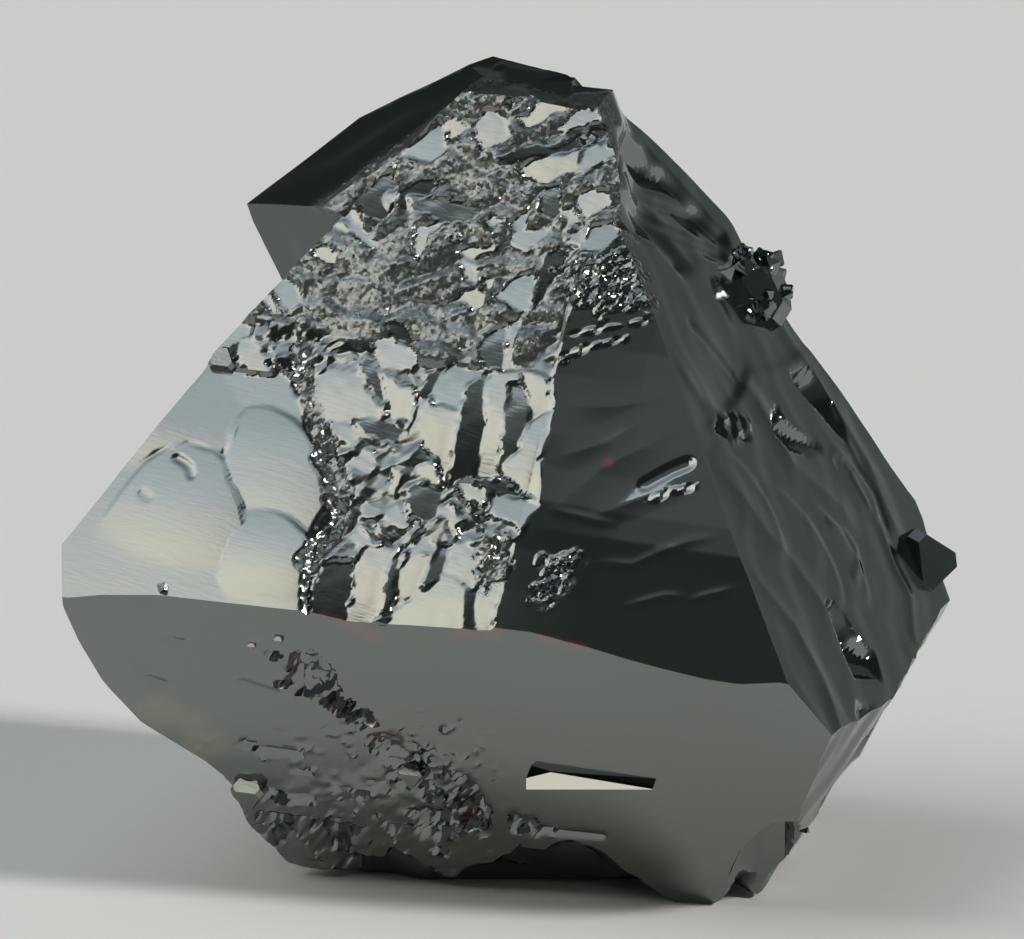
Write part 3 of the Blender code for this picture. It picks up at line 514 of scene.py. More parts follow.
def upper_right_relief(u, v):
    """Soft flow bands, shallow layers, black pits with leaning floors and a ragged sunk patch."""
    along, from_edge = 0.5 * u + SIN_60 * v, SIN_60 * (u + 11.3) - 0.5 * v
    step = (from_edge + 0.9 * np.sin(0.35 * along) + 0.35 * np.sin(1.1 * along + 1)) / 3.1
    inner = blend(from_edge, 0.5, 2.5)
    height = -0.5 + 0.025 * from_edge + 0.8 * blend(v, 9, 12) * (1 - blend(from_edge, 2, 5))
    height += inner * 0.03 * (step % 1.0 - blend(step % 1.0, 0.6, 1.0))

    # The sunk patch: uneven ground and leaning treads, deeper towards the top.
    sunk = blend(depth_inside(u, v, SUNK_PATCH) + 0.3 * waver(u, v, 1.4, 37), -0.4, 0.5)
    rung = ((v + 0.6 * u + 0.5 * waver(u, v, 2.6, 38)) / 2.3) % 1.0
    treads = 0.3 * (rung - blend(rung, 0.65, 1.0))
    height += sunk * (0.12 * waver(u, v, 1.7, 32) - treads - 0.2 - 0.11 * (v - 8))

    # Flow bands, and a step down across the face with a rough patch on it.
    for points, width, rise in FLOW_BANDS:
        height += inner * crest(u, v, points, width, rise)
    above = v - np.interp(u, *FRONT_LEDGE)
    drop = inner * (0.16 - 0.1 * blend(np.abs(u + 3.5), 1.0, 4.0))
    height -= drop * blend(above, -0.1, 0.35) * (1 - blend(above, 0.5, 4.0))
    rough = blend(depth_inside(u, v, ROUGH_LEDGE), -0.1, 0.15)
    height += rough * (hillocks(u, v, 0.7, 0.3, 0.3, 33) + 0.1)

    # Pits with a floor that leans down and inwards, grooves, and low round growth steps.
    for outline in PITS:
        inside = depth_inside(u, v, outline)
        lowest = min(place[1] for place in outline)
        height -= blend(inside, -0.15, 0.35) * (0.05 + 0.32 * (v - lowest))
    for groove in RIGHT_GROOVES:
        height += hollow(u, v, *groove)
    for centre_u, centre_v, radius, rise in ROUND_STEPS:
        du, dv = (u - centre_u) / radius, (v - centre_v) / (1.25 * radius)
        height += rise * blend(du + 1.2, 0, 2) * (1 - blend(np.hypot(du, dv), 0.85, 1.05))
    return height + 0.012 * waver(u, v, 1.3, 34)


def lower_front_relief(u, v):
    """A smooth face with two groups of pits, notches, a shallow dent and a rough corner."""
    height = np.zeros(u.shape)
    for outline, size, depth in LOWER_PITS:
        inside = blend(depth_inside(u, v, outline) + 0.25 * waver(u, v, 0.5, 20), -0.1, 0.2)
        height += inside * (hillocks(u, v, size, 0.5, 0.45, 21) - depth + 0.2)
    corner = (1 - blend(v - 0.45 * u, 0.2, 2.0)) * (1 - blend(u, 1.2, 2.6))
    height += corner * (hillocks(u, v, 2.2, 0.08, 0.2, 23)
                        + 0.5 * hillocks(u, v, 0.5, 0.3, 0.2, 24) + 0.2)
    specks = blend(waver(u, v, 0.45, 25), 0.5, 0.62) * (1 - blend(v - 0.4 * u, 2.5, 5.5))
    height += specks * (1 - blend(u, 2.0, 4.5)) * (hillocks(u, v, 0.3, 0.5, 0.3, 26) + 0.12)
    for groove in LOWER_GROOVES:
        height += hollow(u, v, *groove)
    height += blend(v, 5, 10) * np.interp(u, *FRONT_EDGE)
    return height - 0.003 * np.clip(u - 6, 0, 12) * np.clip(4 - v, 0, 10)


def lower_right_relief(u, v):
    """Low growth layers on a face that meets the base."""
    return growth_layers(u, v, -4, 2, 3.4, 0.15) + 0.04 * waver(u, v, 0.9, 35)


def upper_back_left_relief(u, v):
    """The face behind the bright one, with a small step in the edge between them."""
    edge = edge_profile(0.5 * u - SIN_60 * v, (-12, 4.2, 5.0, 9.2, 15, 18),
                        (14.6, 14.75, 14.5, 14.25, 13.8, 13.4), UPPER_BACK_LEFT)
    return edge + 0.8 * growth_layers(u, v, 3, -2, 3.1, 0.16) + 0.02 * waver(u, v, 1.2, 36)


def upper_back_right_relief(u, v):
    """The face behind the right-hand one, bowed by growth so that its edge curves."""
    edge = edge_profile(0.5 * u + SIN_60 * v,
                        (-16, -12, -10.5, -9, -5.9, -1.6, 1, 3, 6, 9, 11.5, 14),
                        (8.1, 8.8, 9.0, 9.4, 10.6, 11.5, 12.5, 14.0, 13.95, 13.5, 12.8, 12.3),
                        UPPER_BACK_RIGHT)
    return edge + growth_layers(u, v, -2, 3, 3.6, 0.14) + 0.3


def lower_back_left_relief(u, v):
    """The hidden lower left face, rounded towards the left tip and notched above the base."""
    edge = edge_profile(0.5 * u + SIN_60 * v, (-4, 0.5, 2.9, 4.3, 7.5, 10.2, 12.7, 15, 17.2),
                        (13.4, 13.9, 13.05, 13.3, 14.6, 14.7, 14.2, 13.4, 12.0), LOWER_BACK_LEFT)
    return edge + blend(u, 2.0, -4.0) * chips(u, v, 3.2, 0.25, 31)


def lower_back_right_relief(u, v):
    """The hidden lower right face: growth layers, and broken near the base."""
    rough = 1 - blend(v, -4.5, -1.5)
    return growth_layers(u, v, 2, 3, 3.3, 0.2) + 0.35 + rough * chips(u, v, 3.0, 0.28, 35)


def tip_relief(u, v):
    """Chipped ends of the side corners."""
    return chips(u, v, 2.2, 0.12, 43)


# How a face is cut
# A crystal starts as a block. For each face, all that lies outside it is a closed solid: a fine
# grid with the face's relief where the face is, one wide ring of cells round it, and a far back.
BLOCK_HALF = 32.0
OUTSIDE_REACH = 75.0
FAR_BACK = 60.0
WIDE = ((-24, 24), (-24, 24))
cutters = []


def face_frame(index):
    """A face's outward direction, its level line to the right, and its upward line."""
    outward = (CRYSTAL_AXES @ Vector(index)).normalized()
    level = (CRYSTAL_AXES @ Vector((0, 0, 1))).cross(outward)
    if level.length < 0.3:
        sideways = CRYSTAL_AXES @ Vector((1, 0, 0))
        level = sideways - outward * outward.dot(sideways)
    level.normalize()
    return outward, level, outward.cross(level)


def put_in_scene(name, data):
    """An object for a mesh, a lamp or a camera, at the origin of the scene."""
    thing = bpy.data.objects.new(name, data)
    bpy.context.scene.collection.objects.link(thing)
    return thing


def solid(name, places, faces):
    """A mesh object from places in mm and the corner numbers of its faces."""
    mesh = bpy.data.meshes.new(name)
    mesh.from_pydata((np.array(places) * MM).tolist(), [], faces)
    mesh.update()
    return put_in_scene(name, mesh)


def outside_of(name, axes, distance, span, spacing, relief):
    """Grid place (u, v) is centre + (distance + relief(u, v)) outward + u level + v upward. Its
    rim is carried FAR_BACK mm out, and closed there by a fan."""
    outward, level, upward = (np.array(axis) for axis in axes)
    u_lines, v_lines = (
        np.concatenate([[-OUTSIDE_REACH], np.arange(low, high, spacing), [OUTSIDE_REACH]])
        for low, high in span)
    u, v = np.meshgrid(u_lines, v_lines, indexing="ij")
    near_u = np.clip(u, u_lines[1], u_lines[-2])
    near_v = np.clip(v, v_lines[1], v_lines[-2])
    height = distance + relief(near_u, near_v)
    sheet = (np.array(CENTRE) + height[..., None] * outward + u[..., None] * level
             + v[..., None] * upward)
    rows, columns = u.shape
    number = np.arange(rows * columns).reshape(rows, columns)
    squares = np.stack([number[:-1, :-1], number[:-1, 1:], number[1:, 1:], number[1:, :-1]], -1)
    squares = squares.reshape(-1, 4)
    rim = np.concatenate([number[:-1, 0], number[-1, :-1], number[:0:-1, -1], number[0, :0:-1]])
    back = np.arange(len(rim)) + rows * columns
    places = sheet.reshape(-1, 3)
    back_places = places[rim] + (FAR_BACK - height.reshape(-1)[rim])[:, None] * outward
    places = np.concatenate([places, back_places, [np.array(CENTRE) + FAR_BACK * outward]])
    skirt = np.stack([rim, np.roll(rim, -1), np.roll(back, -1), back], -1)
    fan = np.stack([back, np.roll(back, -1), np.full(len(back), len(places) - 1)], -1)
    corners = [squares[:, [0, 1, 2]], squares[:, [0, 2, 3]], skirt[:, [0, 1, 2]],
               skirt[:, [0, 2, 3]], fan]
    return solid(name, places, np.concatenate(corners).tolist())


def combine(stone, other, operation):
    """Cuts other away from the stone, or grows it on, as a live Boolean."""
    modifier = stone.modifiers.new(other.name, "BOOLEAN")
    modifier.operation, modifier.solver, modifier.object = operation, "MANIFOLD", other
    cutters.append(other)


def block(name, half):
    """A plain cube round the crystal's centre."""
    signs = np.array([(x, y, z) for x in (-1, 1) for y in (-1, 1) for z in (-1, 1)], float)
    return solid(name, signs * half + np.array(CENTRE),
                 [(0, 1, 3, 2), (4, 6, 7, 5), (0, 4, 5, 1), (2, 3, 7, 6), (0, 2, 6, 4),
                  (1, 5, 7, 3)])


stone = block("cuprite_stone", BLOCK_HALF)
for name, face, span, spacing, relief in (
        ("upper_front", UPPER_FRONT, ((-17, 18.6), (-11.8, 15.8)), 0.105, upper_front_relief),
        ("upper_right", UPPER_RIGHT, ((-19.6, 11), (-15.8, 15.6)), 0.195, upper_right_relief),
        ("lower_front", LOWER_FRONT, ((-17, 20.6), (-9, 12)), 0.18, lower_front_relief),
        ("lower_right", LOWER_RIGHT, WIDE, 0.5, lower_right_relief),
        ("upper_back_left", UPPER_BACK_LEFT, WIDE, 0.5, upper_back_left_relief),
        ("upper_back_right", UPPER_BACK_RIGHT, WIDE, 0.5, upper_back_right_relief),
        ("lower_back_left", LOWER_BACK_LEFT, WIDE, 0.5, lower_back_left_relief),
        ("lower_back_right", LOWER_BACK_RIGHT, WIDE, 0.5, lower_back_right_relief),
        ("right_tip", RIGHT_TIP, WIDE, 0.4, tip_relief),
        ("right_corner", RIGHT_CORNER, WIDE, 0.4, tip_relief),
        ("left_tip", LEFT_TIP, WIDE, 0.4, tip_relief)):
    outside = outside_of(name, face_frame(face[0]), face[1], span, spacing, relief)
    combine(stone, outside, "DIFFERENCE")

# The bright ledge
# A sharp growth step on the lower front face. Its bright side leans back nearly as far as the upper
# front face does, so it shines like it, and its other sides are seen edge-on from the front.
CAMERA_ELEVATION = radians(11.5)
LEDGE_OUTLINE = ((4.84, 0.21), (4.92, 0.92), (6.11, 1.5), (10.73, 1.27), (10.7, 1.24))
LEDGE_TOP, LEDGE_RISE, LEDGE_LEAN = 1.36, 0.03, 0.42
LEDGE_ROOT = 1.2


def hull_of(name, points):
    """The smallest convex solid round points in mm."""
    hull = bmesh.new()
    for point in points:
        hull.verts.new(point)
    bmesh.ops.convex_hull(hull, input=hull.verts[:])
    unused = [corner for corner in hull.verts if not corner.link_faces]
    bmesh.ops.delete(hull, geom=unused, context="VERTS")
    bmesh.ops.recalc_face_normals(hull, faces=hull.faces[:])
    hull.verts.index_update()
    places = [corner.co[:] for corner in hull.verts]
    faces = [[corner.index for corner in face.verts] for face in hull.faces]
    hull.free()
    return solid(name, places, faces)


# Each corner of the outline goes towards the viewer up to the plane v = top + rise u - lean h,
# where h is the height off the face, and away from the viewer into the stone.
towards_viewer = (0, -cos(CAMERA_ELEVATION), sin(CAMERA_ELEVATION))
outward, level, upward = (np.array(axis) for axis in face_frame(LOWER_FRONT[0]))
out_share, level_share, up_share = (np.array(towards_viewer) @ axis
                                    for axis in (outward, level, upward))
ledge_points = []
for u, v in LEDGE_OUTLINE:
    reach = (LEDGE_TOP - v + LEDGE_RISE * u) / (up_share - LEDGE_RISE * level_share
                                                + LEDGE_LEAN * out_share)
    for along in (reach, -LEDGE_ROOT):
        place = (LOWER_FRONT[1] * outward + u * level + v * upward
                 + along * np.array(towards_viewer))
        ledge_points.append(np.array(CENTRE) + place)
combine(stone, hull_of("ledge", ledge_points), "UNION")

# The second crystal
# A crystal of the same kind that grew through the large one, behind its upper left edge. It is cut
# from a block of its own and ends inside the large crystal.


def second_relief(u, v):
    """Nearly smooth faces of the second crystal, with a few low growth steps."""
    return 0.6 * growth_layers(u, v, 1.5, 2.5, 3.8, 0.12) + 0.1


second = block("second_crystal", BLOCK_HALF - 4)
for name, index, distance, relief in (
        ("second_upper_left", (-0.78, 0.03, 1), 17.79, second_relief),
        ("second_lower_left", (-1, -0.35, -1), -4.36, second_relief),
        ("second_left", (-1, 1, -0.3), 9.60, second_relief),
        ("second_back", (-0.25, 1, 0.5), 15.14, second_relief),
        ("second_upper_back", (-0.35, 0.54, 1), 19.87, second_relief),
        ("second_back_right", (1, 0.5, 0.8), 13.74, second_relief),
        ("second_rear", (-0.1, 1, -0.2), 12.0, second_relief),
        ("second_lower_back", (0.4, 1, -1), 3.5, second_relief),
        ("second_front_end", (-1, -1, 1), 13.0, tip_relief),
        ("second_right_end", (1, -1, 1), 13.1, tip_relief),
        ("second_lower_end", (0.2, -0.6, -0.9), -4.0, tip_relief)):
    outside = outside_of(name, face_frame(index), distance, WIDE, 0.5, relief)
    combine(second, outside, "DIFFERENCE")
combine(stone, second, "UNION")

# Small crystals and the druse lump
# Little octahedra with blunt corners sit on the edges, and a lump on the right is a crust of tiny
# ones. Each is the hull of a few points, and all are grown into the stone. Those that stand
# parallel to the large crystal shine where its bright face would.
PARALLEL_TURN = (0, 3.7, 28.3)
TINY_CRYSTALS = ((-6.9, 7.1, 0.26), (-5.6, 7.7, 0.3), (-0.4, 0.2, 0.8), (0.8, 1.4, 0.36),
                 (1.5, 1.7, 0.4), (0.7, -1.2, 0.45), (-0.9, -3.2, 0.45), (3.4, 0.4, 0.24))
TINY_SINK = 0.1
LUMP_PLACE = np.array((10.9, 2.9, 10.9))
LUMP_REACH = np.array((1.4, 1.5, 1.95))
LUMP_CRYSTALS = 60


def small_crystal(name, place, radius, turn, corner_cut):
    """The hull of an octahedron's six points, each replaced by four a little way down its edges."""
    points = []
    for axis in range(3):
        for side in (-1, 1):
            for other in (1, 2):
                for sign in (-1, 1):
                    point = np.zeros(3)
                    point[axis] = side * (1 - corner_cut)
                    point[(axis + other) % 3] = sign * corner_cut
                    points.append(point * radius)
    spin = Matrix.Identity(3)
    for angle, axis in zip(turn, "XYZ"):
        spin = spin @ Matrix.Rotation(radians(angle), 3, axis)
    places = np.array(points) @ np.array(spin).T + np.array(CENTRE) + np.array(place)
    return hull_of(name, places)


for name, place, radius, turn, corner_cut in (
        ("left_edge_crystal", (-12.6, -6.4, 9.5), (0.9, 0.9, 0.9), (0, 4, 28), 0.22),
        ("bright_crystal", (-11.5, -7.7, -9.4), (1.1, 1.1, 1.1), PARALLEL_TURN, 0.2),
        ("black_crystal", (18.1, 1.3, -1.1), (2.15, 2.4, 2.05), (29, -1, 7), 0.2),
        ("edge_crystal", (-15.2, -13.15, 0.85), (0.32, 0.3, 0.3), (0, 30, 10), 0.15),
        ("crumb", (12.8, -14.5, -9.9), (0.35, 0.4, 0.4), (0, 30, 10), 0.1)):
    combine(stone, small_crystal(name, place, radius, turn, corner_cut), "UNION")

tiny = []
for number, (u, v, size) in enumerate(TINY_CRYSTALS):
    place = (LOWER_FRONT[1] - TINY_SINK) * outward + u * level + v * upward
    tiny.append(small_crystal(f"tiny_{number}", place, (size, size, size), PARALLEL_TURN, 0.12))
for other in tiny[1:]:
    combine(tiny[0], other, "UNION")
combine(stone, tiny[0], "UNION")

lump_random = np.random.default_rng(61)
lump = small_crystal("lump", LUMP_PLACE, (2.45, 1.85, 2.65), (-59, -38, -87), 0.3)
for number in range(LUMP_CRYSTALS):
    direction = lump_random.normal(size=3)
    direction /= np.linalg.norm(direction)
    size = lump_random.uniform(0.3, 0.6)
    place = LUMP_PLACE + direction * LUMP_REACH
    turn = lump_random.uniform(0, 90, 3)
    combine(lump, small_crystal(f"lump_{number}", place, (size, size, size), turn, 0.12), "UNION")
combine(stone, lump, "UNION")

# The blunt top and the broken base
# The top is blunt and chipped, and the base is where the stone was broken off its rock. Both go
# through the large and the second crystal, so they are cut after the two are one.
DOWN = (Vector((0, 0, -1)), Vector((1, 0, 0)), Vector((0, -1, 0)))
BASE_HOLLOWS = ((-6.2, -7.6, 2.6, 1.3), (2.6, -10.8, 3.3, 1.8), (12.6, -15.2, 4.4, 3.6),
                (10.8, -13.0, 2.0, 1.0), (-3.0, -8.8, 1.3, -1.0), (7.9, -11.6, 2.4, -1.2))


def blunt_top_relief(u, v):
    """A few tilted flats on the blunt top, finely chipped along its front edge."""
    return 0.25 * chips(u, v, 2.6, 0.3, 41) + 0.015 * chips(u, v, 0.5, 1.0, 42)


def broken_base_relief(x, flipped_y):
    """The broken base seen from below: hollows in a plane, which is worn flat in the middle."""
    y = -flipped_y
    rough = 0.85 + chips(x, y, 4.2, 0.34, 51) + 0.5 * chips(x, y, 0.9, 0.4, 52)
    outside = blend(np.maximum(np.abs(x), np.abs(y + 0.8)), 5.5, 7.1)
    height = -np.clip(rough, 0, None) * outside * 0.9
    for place_x, place_y, radius, depth in BASE_HOLLOWS:
        distance = np.hypot(x - place_x, y - place_y)
        height -= depth * (1 - blend(distance, 0.2 * radius, radius))
    return np.minimum(height, 0)


for name, axes, distance, span, spacing, relief in (
        ("blunt_top", face_frame(BLUNT_TOP[0]), BLUNT_TOP[1], ((-11, 11), (-11, 11)), 0.25,
         blunt_top_relief),
        ("broken_base", DOWN, CENTRE.z, ((-16, 19), (-14, 19)), 0.4, broken_base_relief)):
    outside = outside_of(name, axes, distance, span, spacing, relief)
    combine(stone, outside, "DIFFERENCE")

# The whole stone as one closed mesh
# All crystals are one stone, so the Booleans are worked out once, into one mesh. The crystal's own
# edges stay crisp, and its fine relief is soft.
CRISP_ANGLE = radians(35)
depsgraph = bpy.context.evaluated_depsgraph_get()
stone_mesh = bpy.data.meshes.new_from_object(stone.evaluated_get(depsgraph))
for cutter in [stone] + cutters:
    bpy.data.objects.remove(cutter)
stone_mesh.name = "cuprite_stone"
crystal = put_in_scene("cuprite_stone", stone_mesh)
stone_mesh.shade_smooth()
stone_mesh.set_sharp_from_angle(angle=CRISP_ANGLE)

# Cuprite
# Copper oxide grown from solution, with an adamantine to submetallic lustre: a glossy dielectric
# of a very high index over nearly black. The deep red along some edges and by some pits is partly
# its own colour where it is thin and partly painted red glints, the red its inside throws back,
# painted into the base colour. Smooth growth faces are a little less sharp than a polish, and the
# crust is dull between its sparkles.
CUPRITE_INDEX = 2.85
GREEN_GREY_LUSTRE = (0.93, 1.0, 0.96, 1)
LOWEST_ROUGHNESS, HIGHEST_ROUGHNESS = 0.055, 0.4
# Red lines along edges and specks by pits: partly cuprite's own red where it is thin, partly
# painted red glints. The single red spot on the bright face is only a painted red glint.
RED_EDGES_AND_GLINTS = ((((-3.4, -10.2), (-0.8, -10.6), (5.8, -9.9), (9.0, -10.1)), 0.18),
             (((-11.0, -9.9), (-10.4, -10.0)), 0.18),
             (((-4.6, 13.1), (-3.4, 14.2), (0.0, 15.4), (3.6, 15.4)), 0.09))
RED_PITS_AND_GLINTS = ((-6.6, 7.2), (-2.0, 3.2), (0.5, -1.2), (2.0, -2.4))
RED_GLINT_SPOT = (7.6, -1.4)
STAIN = ((-11.8, 2.2), (-10.4, 1.6), (-10.0, 0.4))


def linear(hex_colour):
    """An sRGB hex colour as linear RGBA."""
    channels = [int(hex_colour[i:i + 2], 16) / 255 for i in (1, 3, 5)]
    return [c / 12.92 if c <= 0.04045 else ((c + 0.055) / 1.055) ** 2.4 for c in channels] + [1.0]


def add_node(tree, kind, links=(), **settings):
    """Adds a node, gives its sockets and properties their values, and links its inputs."""
    node = tree.nodes.new(kind)
    for key, value in settings.items():
        if key.startswith("in_"):
            socket = key[3:].replace("_", " ")
            node.inputs[int(socket) if socket.isdigit() else socket].default_value = value
        else:
            setattr(node, key, value)
    for source, socket in links:
        tree.links.new(source, node.inputs[socket])
    return node


def mark(name, values):
    """Keeps a number from 0 to 1 for every corner of the mesh, for the finish to read."""
    layer = stone_mesh.attributes.new(name, "FLOAT", "POINT")
    layer.data.foreach_set("value", np.clip(values, 0, 1).astype(np.float32))


def face_places(face):
    """Each corner's place (u, v) on a face, and how near to that face it lies, from 0 to 1."""
    axes = np.array([list(axis) for axis in face_frame(face[0])])
    height, u, v = (places @ axis for axis in axes)
    return u, v, 1 - blend(np.abs(height - face[1]), 1.3, 1.6)


places = np.empty(3 * len(stone_mesh.vertices))
stone_mesh.vertices.foreach_get("co", places)
places = places.reshape(-1, 3) / MM - np.array(CENTRE)

u, v, on_bright = face_places(UPPER_FRONT)
crust, plate, valley = crust_share(u, v), plate_share(u, v), valley_share(u, v)
smooth = on_bright * (1 - blend(u - 4.4, -0.1, 0.1) * (1 - crust))
crusted = on_bright * np.maximum(crust * (1 - plate), valley * (u < 0))
sparkling = on_bright * sparkling_share(u, v)
between = (on_bright * (1 - plate) * blend(u + 3.5, -0.3, 0.3)
           * (1 - blend(u - 4.2, -0.2, 0.2)) * (1 - crust))
mark("dull", 0.1 - 0.06 * on_bright + 0.26 * smooth + 0.45 * crusted
     - 0.35 * sparkling * crusted + 0.1 * sparkling + 0.25 * between)
mark("grain", np.maximum(0.6 * crusted, sparkling))
# Red along the bright face's edges, partly its own colour and partly painted red glints, and a spot
# that is only a painted red glint.
red = np.zeros(u.shape)
for points, width in RED_EDGES_AND_GLINTS:
    red = np.maximum(red, 1 - blend(line_distance(u, v, points), width / 3, width))
red *= blend(waver(u, v, 0.5, 61), -0.1, 0.4)
red = np.maximum(red, 1 - blend(np.hypot(u - RED_GLINT_SPOT[0], v - RED_GLINT_SPOT[1]), 0.15, 0.35))
u, v, on_lower = face_places(LOWER_FRONT)
stain_distance = line_distance(u, v, STAIN) + 0.5 * waver(u, v, 0.7, 62)
mark("stain", on_lower * (1 - blend(stain_distance, 0.4, 1.4)))
# Red specks by the lower face's pits: partly its own colour, partly painted red glints.
red_at_pits_and_glints = 1 - blend(line_distance(u, v, RED_PITS_AND_GLINTS), 0.5, 1.2)
red_at_pits_and_glints *= blend(waver(u, v, 0.3, 63), 0.45, 0.6)
mark("red", np.maximum(on_bright * red, on_lower * red_at_pits_and_glints))

stone_material = bpy.data.materials.new("cuprite_adamantine")
stone_material.use_nodes = True
tree = stone_material.node_tree
surface = tree.nodes["Principled BSDF"]
surface.inputs["IOR"].default_value = CUPRITE_INDEX
surface.inputs["Specular Tint"].default_value = GREEN_GREY_LUSTRE
bright_out, bright_level, bright_up = face_frame(UPPER_FRONT[0])
line_axes = Matrix.Rotation(radians(9), 3, "Z") @ Matrix((bright_level, bright_up, bright_out))
place = add_node(tree, "ShaderNodeTexCoord").outputs["Object"]
in_mm = add_node(tree, "ShaderNodeMapping", [(place, 0)], in_Rotation=line_axes.to_euler(),
                 in_Scale=(1 / MM, 1 / MM, 1 / MM)).outputs[0]
dull, grain, red_and_glint_share, stain_share = (
    add_node(tree, "ShaderNodeAttribute", attribute_name=name).outputs["Fac"]
    for name in ("dull", "grain", "red", "stain"))

# Growth lines, about 0.15 mm apart and nearly level, run across all faces.
stretched = add_node(tree, "ShaderNodeVectorMath", [(in_mm, 0)], operation="MULTIPLY",
                     in_1=(1.1, 6.5, 6.5)).outputs[0]
lines = add_node(tree, "ShaderNodeTexNoise", [(stretched, 0)], in_Scale=1.0, in_Detail=2.5,
                 in_Roughness=0.6).outputs[0]
lined = add_node(tree, "ShaderNodeMapRange", [(dull, 0)], in_1=0.03, in_2=0.3).outputs[0]
line_height = add_node(tree, "ShaderNodeMath", [(lines, 0), (lined, 1)],
                       operation="MULTIPLY").outputs[0]
growth_lines = add_node(tree, "ShaderNodeBump", [(line_height, "Height")], in_Strength=1.0,
                        in_Distance=0.006 * MM).outputs[0]

# Tiny chips, about 0.16 mm wide and each tilted its own way, make the crust sparkle.
chip = add_node(tree, "ShaderNodeTexVoronoi", [(in_mm, 0)], in_Scale=6.0)
lean = add_node(tree, "ShaderNodeVectorMath", [(chip.outputs["Color"], 0)],
                operation="SUBTRACT", in_1=(0.5, 0.5, 0.5)).outputs[0]
offset = add_node(tree, "ShaderNodeVectorMath", [(in_mm, 0), (chip.outputs["Position"], 1)],
                  operation="SUBTRACT").outputs[0]
tilted = add_node(tree, "ShaderNodeVectorMath", [(lean, 0), (offset, 1)],
                  operation="DOT_PRODUCT").outputs["Value"]
chip_height = add_node(tree, "ShaderNodeMath", [(tilted, 0), (grain, 1)],
                       operation="MULTIPLY").outputs[0]
chip_bump = add_node(tree, "ShaderNodeBump", [(chip_height, "Height"), (growth_lines, "Normal")],
                     in_Strength=1.0, in_Distance=0.5 * MM).outputs[0]

rough = add_node(tree, "ShaderNodeMapRange", [(dull, 0)], in_3=LOWEST_ROUGHNESS,
                 in_4=HIGHEST_ROUGHNESS).outputs[0]
# Base colour: nearly black, deep red where the red marks are, which are partly cuprite's own red
# and partly painted red glints; then the olive stain over that.
red_and_glint_coloured = add_node(tree, "ShaderNodeMix", [(red_and_glint_share, 0)], data_type="RGBA",
                    in_6=linear("#101614"), in_7=linear("#5c0f18")).outputs[2]
stained = add_node(tree, "ShaderNodeMix", [(stain_share, 0), (red_and_glint_coloured, 6)], data_type="RGBA",
                   in_7=linear("#4a4722")).outputs[2]
for source, socket in ((chip_bump, "Normal"), (rough, "Roughness"), (stained, "Base Color")):
    tree.links.new(source, surface.inputs[socket])
stone_mesh.materials.clear()
stone_mesh.materials.append(stone_material)

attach(crystal, "root")
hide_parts("cuprite_crystal")

# The floor
# A board of pale matt card on which the stone stands, wide enough to fill every view. The lower
# faces mirror it, so its tone sets theirs.
FLOOR_HALF = 8.0
floor_mesh = bpy.data.meshes.new("floor")
floor_corners = [(x * FLOOR_HALF, y * FLOOR_HALF, 0)
                 for x, y in ((-1, -1), (1, -1), (1, 1), (-1, 1))]
floor_mesh.from_pydata(floor_corners, [], [(0, 1, 2, 3)])
floor = put_in_scene("floor", floor_mesh)
floor_material = bpy.data.materials.new("matt_pale_board")
floor_material.use_nodes = True
board = floor_material.node_tree.nodes["Principled BSDF"]
board.inputs["Base Color"].default_value = linear("#e9eae8")
board.inputs["Roughness"].default_value = 0.9
board.inputs["IOR"].default_value = 1.2
floor_mesh.materials.append(floor_material)

# The light
# One lamp from the front right, as broad as a soft box a few steps away, which lights the floor.
# The stone itself shows little of it: its brightness comes from what its faces mirror.
SUN_DIRECTION = Vector((0.71, -0.41, 0.574))
sun_data = bpy.data.lights.new("sun", "SUN")
sun_data.energy = 1.9
sun_data.angle = radians(9)
sun_data.color = linear("#fffaf6")[:3]
sun = put_in_scene("sun", sun_data)
sun.rotation_euler = SUN_DIRECTION.to_track_quat("Z", "Y").to_euler()

# The camera
# A long lens from a little above the stone, framed as in the photograph: the picture's size and
# the place of the crystal's centre in it are in pixels, 900 of them to the stone's 40 mm.
PICTURE_WIDTH, PICTURE_HEIGHT = 1024, 939
CENTRE_ACROSS, CENTRE_DOWN = 511, 545
MM_PER_PIXEL = 40 / 900
FOCAL_PIXELS = 16000
SENSOR_WIDTH = 36
towards_camera = Vector(towards_viewer)
picture_up = Vector((0, sin(CAMERA_ELEVATION), cos(CAMERA_ELEVATION)))
picture_right = Vector((1, 0, 0))
camera_data = bpy.data.cameras.new("camera")
camera_data.sensor_width = SENSOR_WIDTH
camera_data.lens = FOCAL_PIXELS * SENSOR_WIDTH / PICTURE_WIDTH
camera_data.clip_start, camera_data.clip_end = 0.01, 30
camera = put_in_scene("camera", camera_data)
aim = CENTRE * MM + (picture_right * (PICTURE_WIDTH / 2 - CENTRE_ACROSS)
                     + picture_up * (CENTRE_DOWN - PICTURE_HEIGHT / 2)) * MM_PER_PIXEL * MM
camera_place = Matrix.Translation(aim + towards_camera * FOCAL_PIXELS * MM_PER_PIXEL * MM)
camera_turn = Matrix((picture_right, picture_up, towards_camera)).transposed().to_4x4()
camera.matrix_world = camera_place @ camera_turn
bpy.context.scene.camera = camera

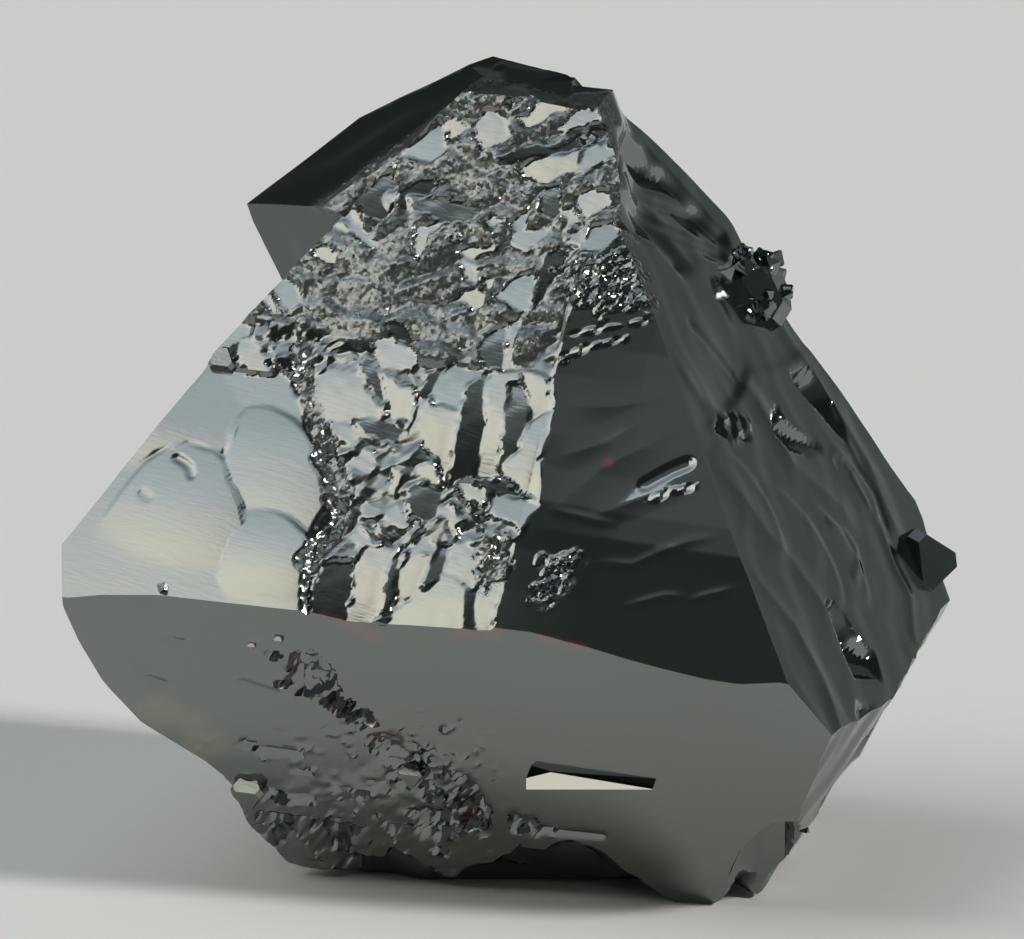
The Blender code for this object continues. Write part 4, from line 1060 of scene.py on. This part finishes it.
# The surroundings that the faces mirror
# The stone is a dark mirror, so its tones are those of the studio: a tall window, cream below and
# blue above, where the bright face looks, a dark screen to its right, and a dim room all round.
# Places in it are a direction's shares along the bright face's own axes.
GREATEST_GLOW = 3.2
WINDOW = ((-0.4, (0.08, 0.1, 0.1)), (-0.3, (0.5, 0.55, 0.55)), (-0.22, (2.6, 2.4, 2.05)),
          (-0.1, (2.8, 2.55, 2.15)), (-0.03, (2.3, 2.2, 2.1)), (0.03, (1.95, 1.98, 2.08)),
          (0.1, (1.55, 1.68, 1.78)), (0.3, (0.85, 0.98, 1.06)), (0.5, (0.35, 0.42, 0.47)),
          (0.8, (0.08, 0.09, 0.1)))
SCREEN = ((-0.3, (0.03, 0.035, 0.033)), (-0.06, (0.05, 0.06, 0.055)), (-0.02, (0.08, 0.1, 0.095)),
          (0.04, (0.2, 0.23, 0.23)), (0.25, (0.2, 0.24, 0.25)), (0.6, (0.05, 0.06, 0.065)))
ROOM = ((-0.1, (0.34, 0.37, 0.35)), (0.02, (0.3, 0.33, 0.31)), (0.15, (0.19, 0.215, 0.2)),
        (0.28, (0.1, 0.115, 0.11)), (0.45, (0.04, 0.046, 0.046)), (0.6, (0.02, 0.024, 0.026)))
mirrored = 2 * bright_out.dot(towards_camera) * bright_out - towards_camera
side_at, rise_at = mirrored.dot(bright_level), mirrored.dot(bright_up)
world = bpy.data.worlds.new("studio")
bpy.context.scene.world = world
world.use_nodes = True
sky = world.node_tree
direction = add_node(sky, "ShaderNodeTexCoord").outputs["Generated"]
height_up = add_node(sky, "ShaderNodeSeparateXYZ", [(direction, 0)]).outputs["Z"]
side, rise, facing = (
    add_node(sky, "ShaderNodeVectorMath", [(direction, 0)], operation="DOT_PRODUCT",
             in_1=axis[:]).outputs["Value"] for axis in (bright_level, bright_up, bright_out))

# The window's right-hand edge stands upright below and leans to the right above.
high_up = add_node(sky, "ShaderNodeMapRange", [(rise, 0)], interpolation_type="SMOOTHSTEP",
                   in_1=rise_at + 0.07, in_2=rise_at + 0.25).outputs[0]
leaning = add_node(sky, "ShaderNodeMath", [(high_up, 0), (side, 2)], operation="MULTIPLY_ADD",
                   in_1=-0.35).outputs[0]
left_of_edge, near_enough, ahead, on_screen, screen_ahead = (
    add_node(sky, "ShaderNodeMapRange", [(value, 0)], interpolation_type="SMOOTHSTEP",
             in_1=start, in_2=end).outputs[0]
    for value, start, end in ((leaning, side_at + 0.01, side_at - 0.02),
                              (side, side_at - 1.1, side_at - 0.8), (facing, 0.0, 0.2),
                              (side, side_at + 0.6, side_at + 0.1), (facing, 0.2, 0.6)))

glows = []
for value, start, stops in ((rise, rise_at, WINDOW), (rise, rise_at, SCREEN), (height_up, 0, ROOM)):
    low, high = start + stops[0][0], start + stops[-1][0]
    share = add_node(sky, "ShaderNodeMapRange", [(value, 0)], in_1=low, in_2=high).outputs[0]
    ramp = add_node(sky, "ShaderNodeValToRGB", [(share, 0)])
    for _ in stops[2:]:
        ramp.color_ramp.elements.new(0.5)
    for element, (number, glow) in zip(ramp.color_ramp.elements, stops):
        element.position = (start + number - low) / (high - low)
        element.color = [channel / GREATEST_GLOW for channel in glow] + [1]
    glows.append(ramp.outputs[0])
window_glow, screen_glow, room_glow = glows

window_edges = add_node(sky, "ShaderNodeMath", [(left_of_edge, 0), (near_enough, 1)],
                        operation="MULTIPLY").outputs[0]
window_share, screen_share = (
    add_node(sky, "ShaderNodeMath", [(first, 0), (second, 1)], operation="MULTIPLY").outputs[0]
    for first, second in ((window_edges, ahead), (on_screen, screen_ahead)))
behind_window = add_node(sky, "ShaderNodeMix", data_type="RGBA",
                         links=[(screen_share, 0), (room_glow, 6), (screen_glow, 7)]).outputs[2]
all_round = add_node(sky, "ShaderNodeMix", data_type="RGBA",
                     links=[(window_share, 0), (behind_window, 6), (window_glow, 7)]).outputs[2]
background = sky.nodes["Background"]
sky.links.new(all_round, background.inputs["Color"])
background.inputs["Strength"].default_value = GREATEST_GLOW
bpy.context.scene.view_settings.view_transform = "Standard"
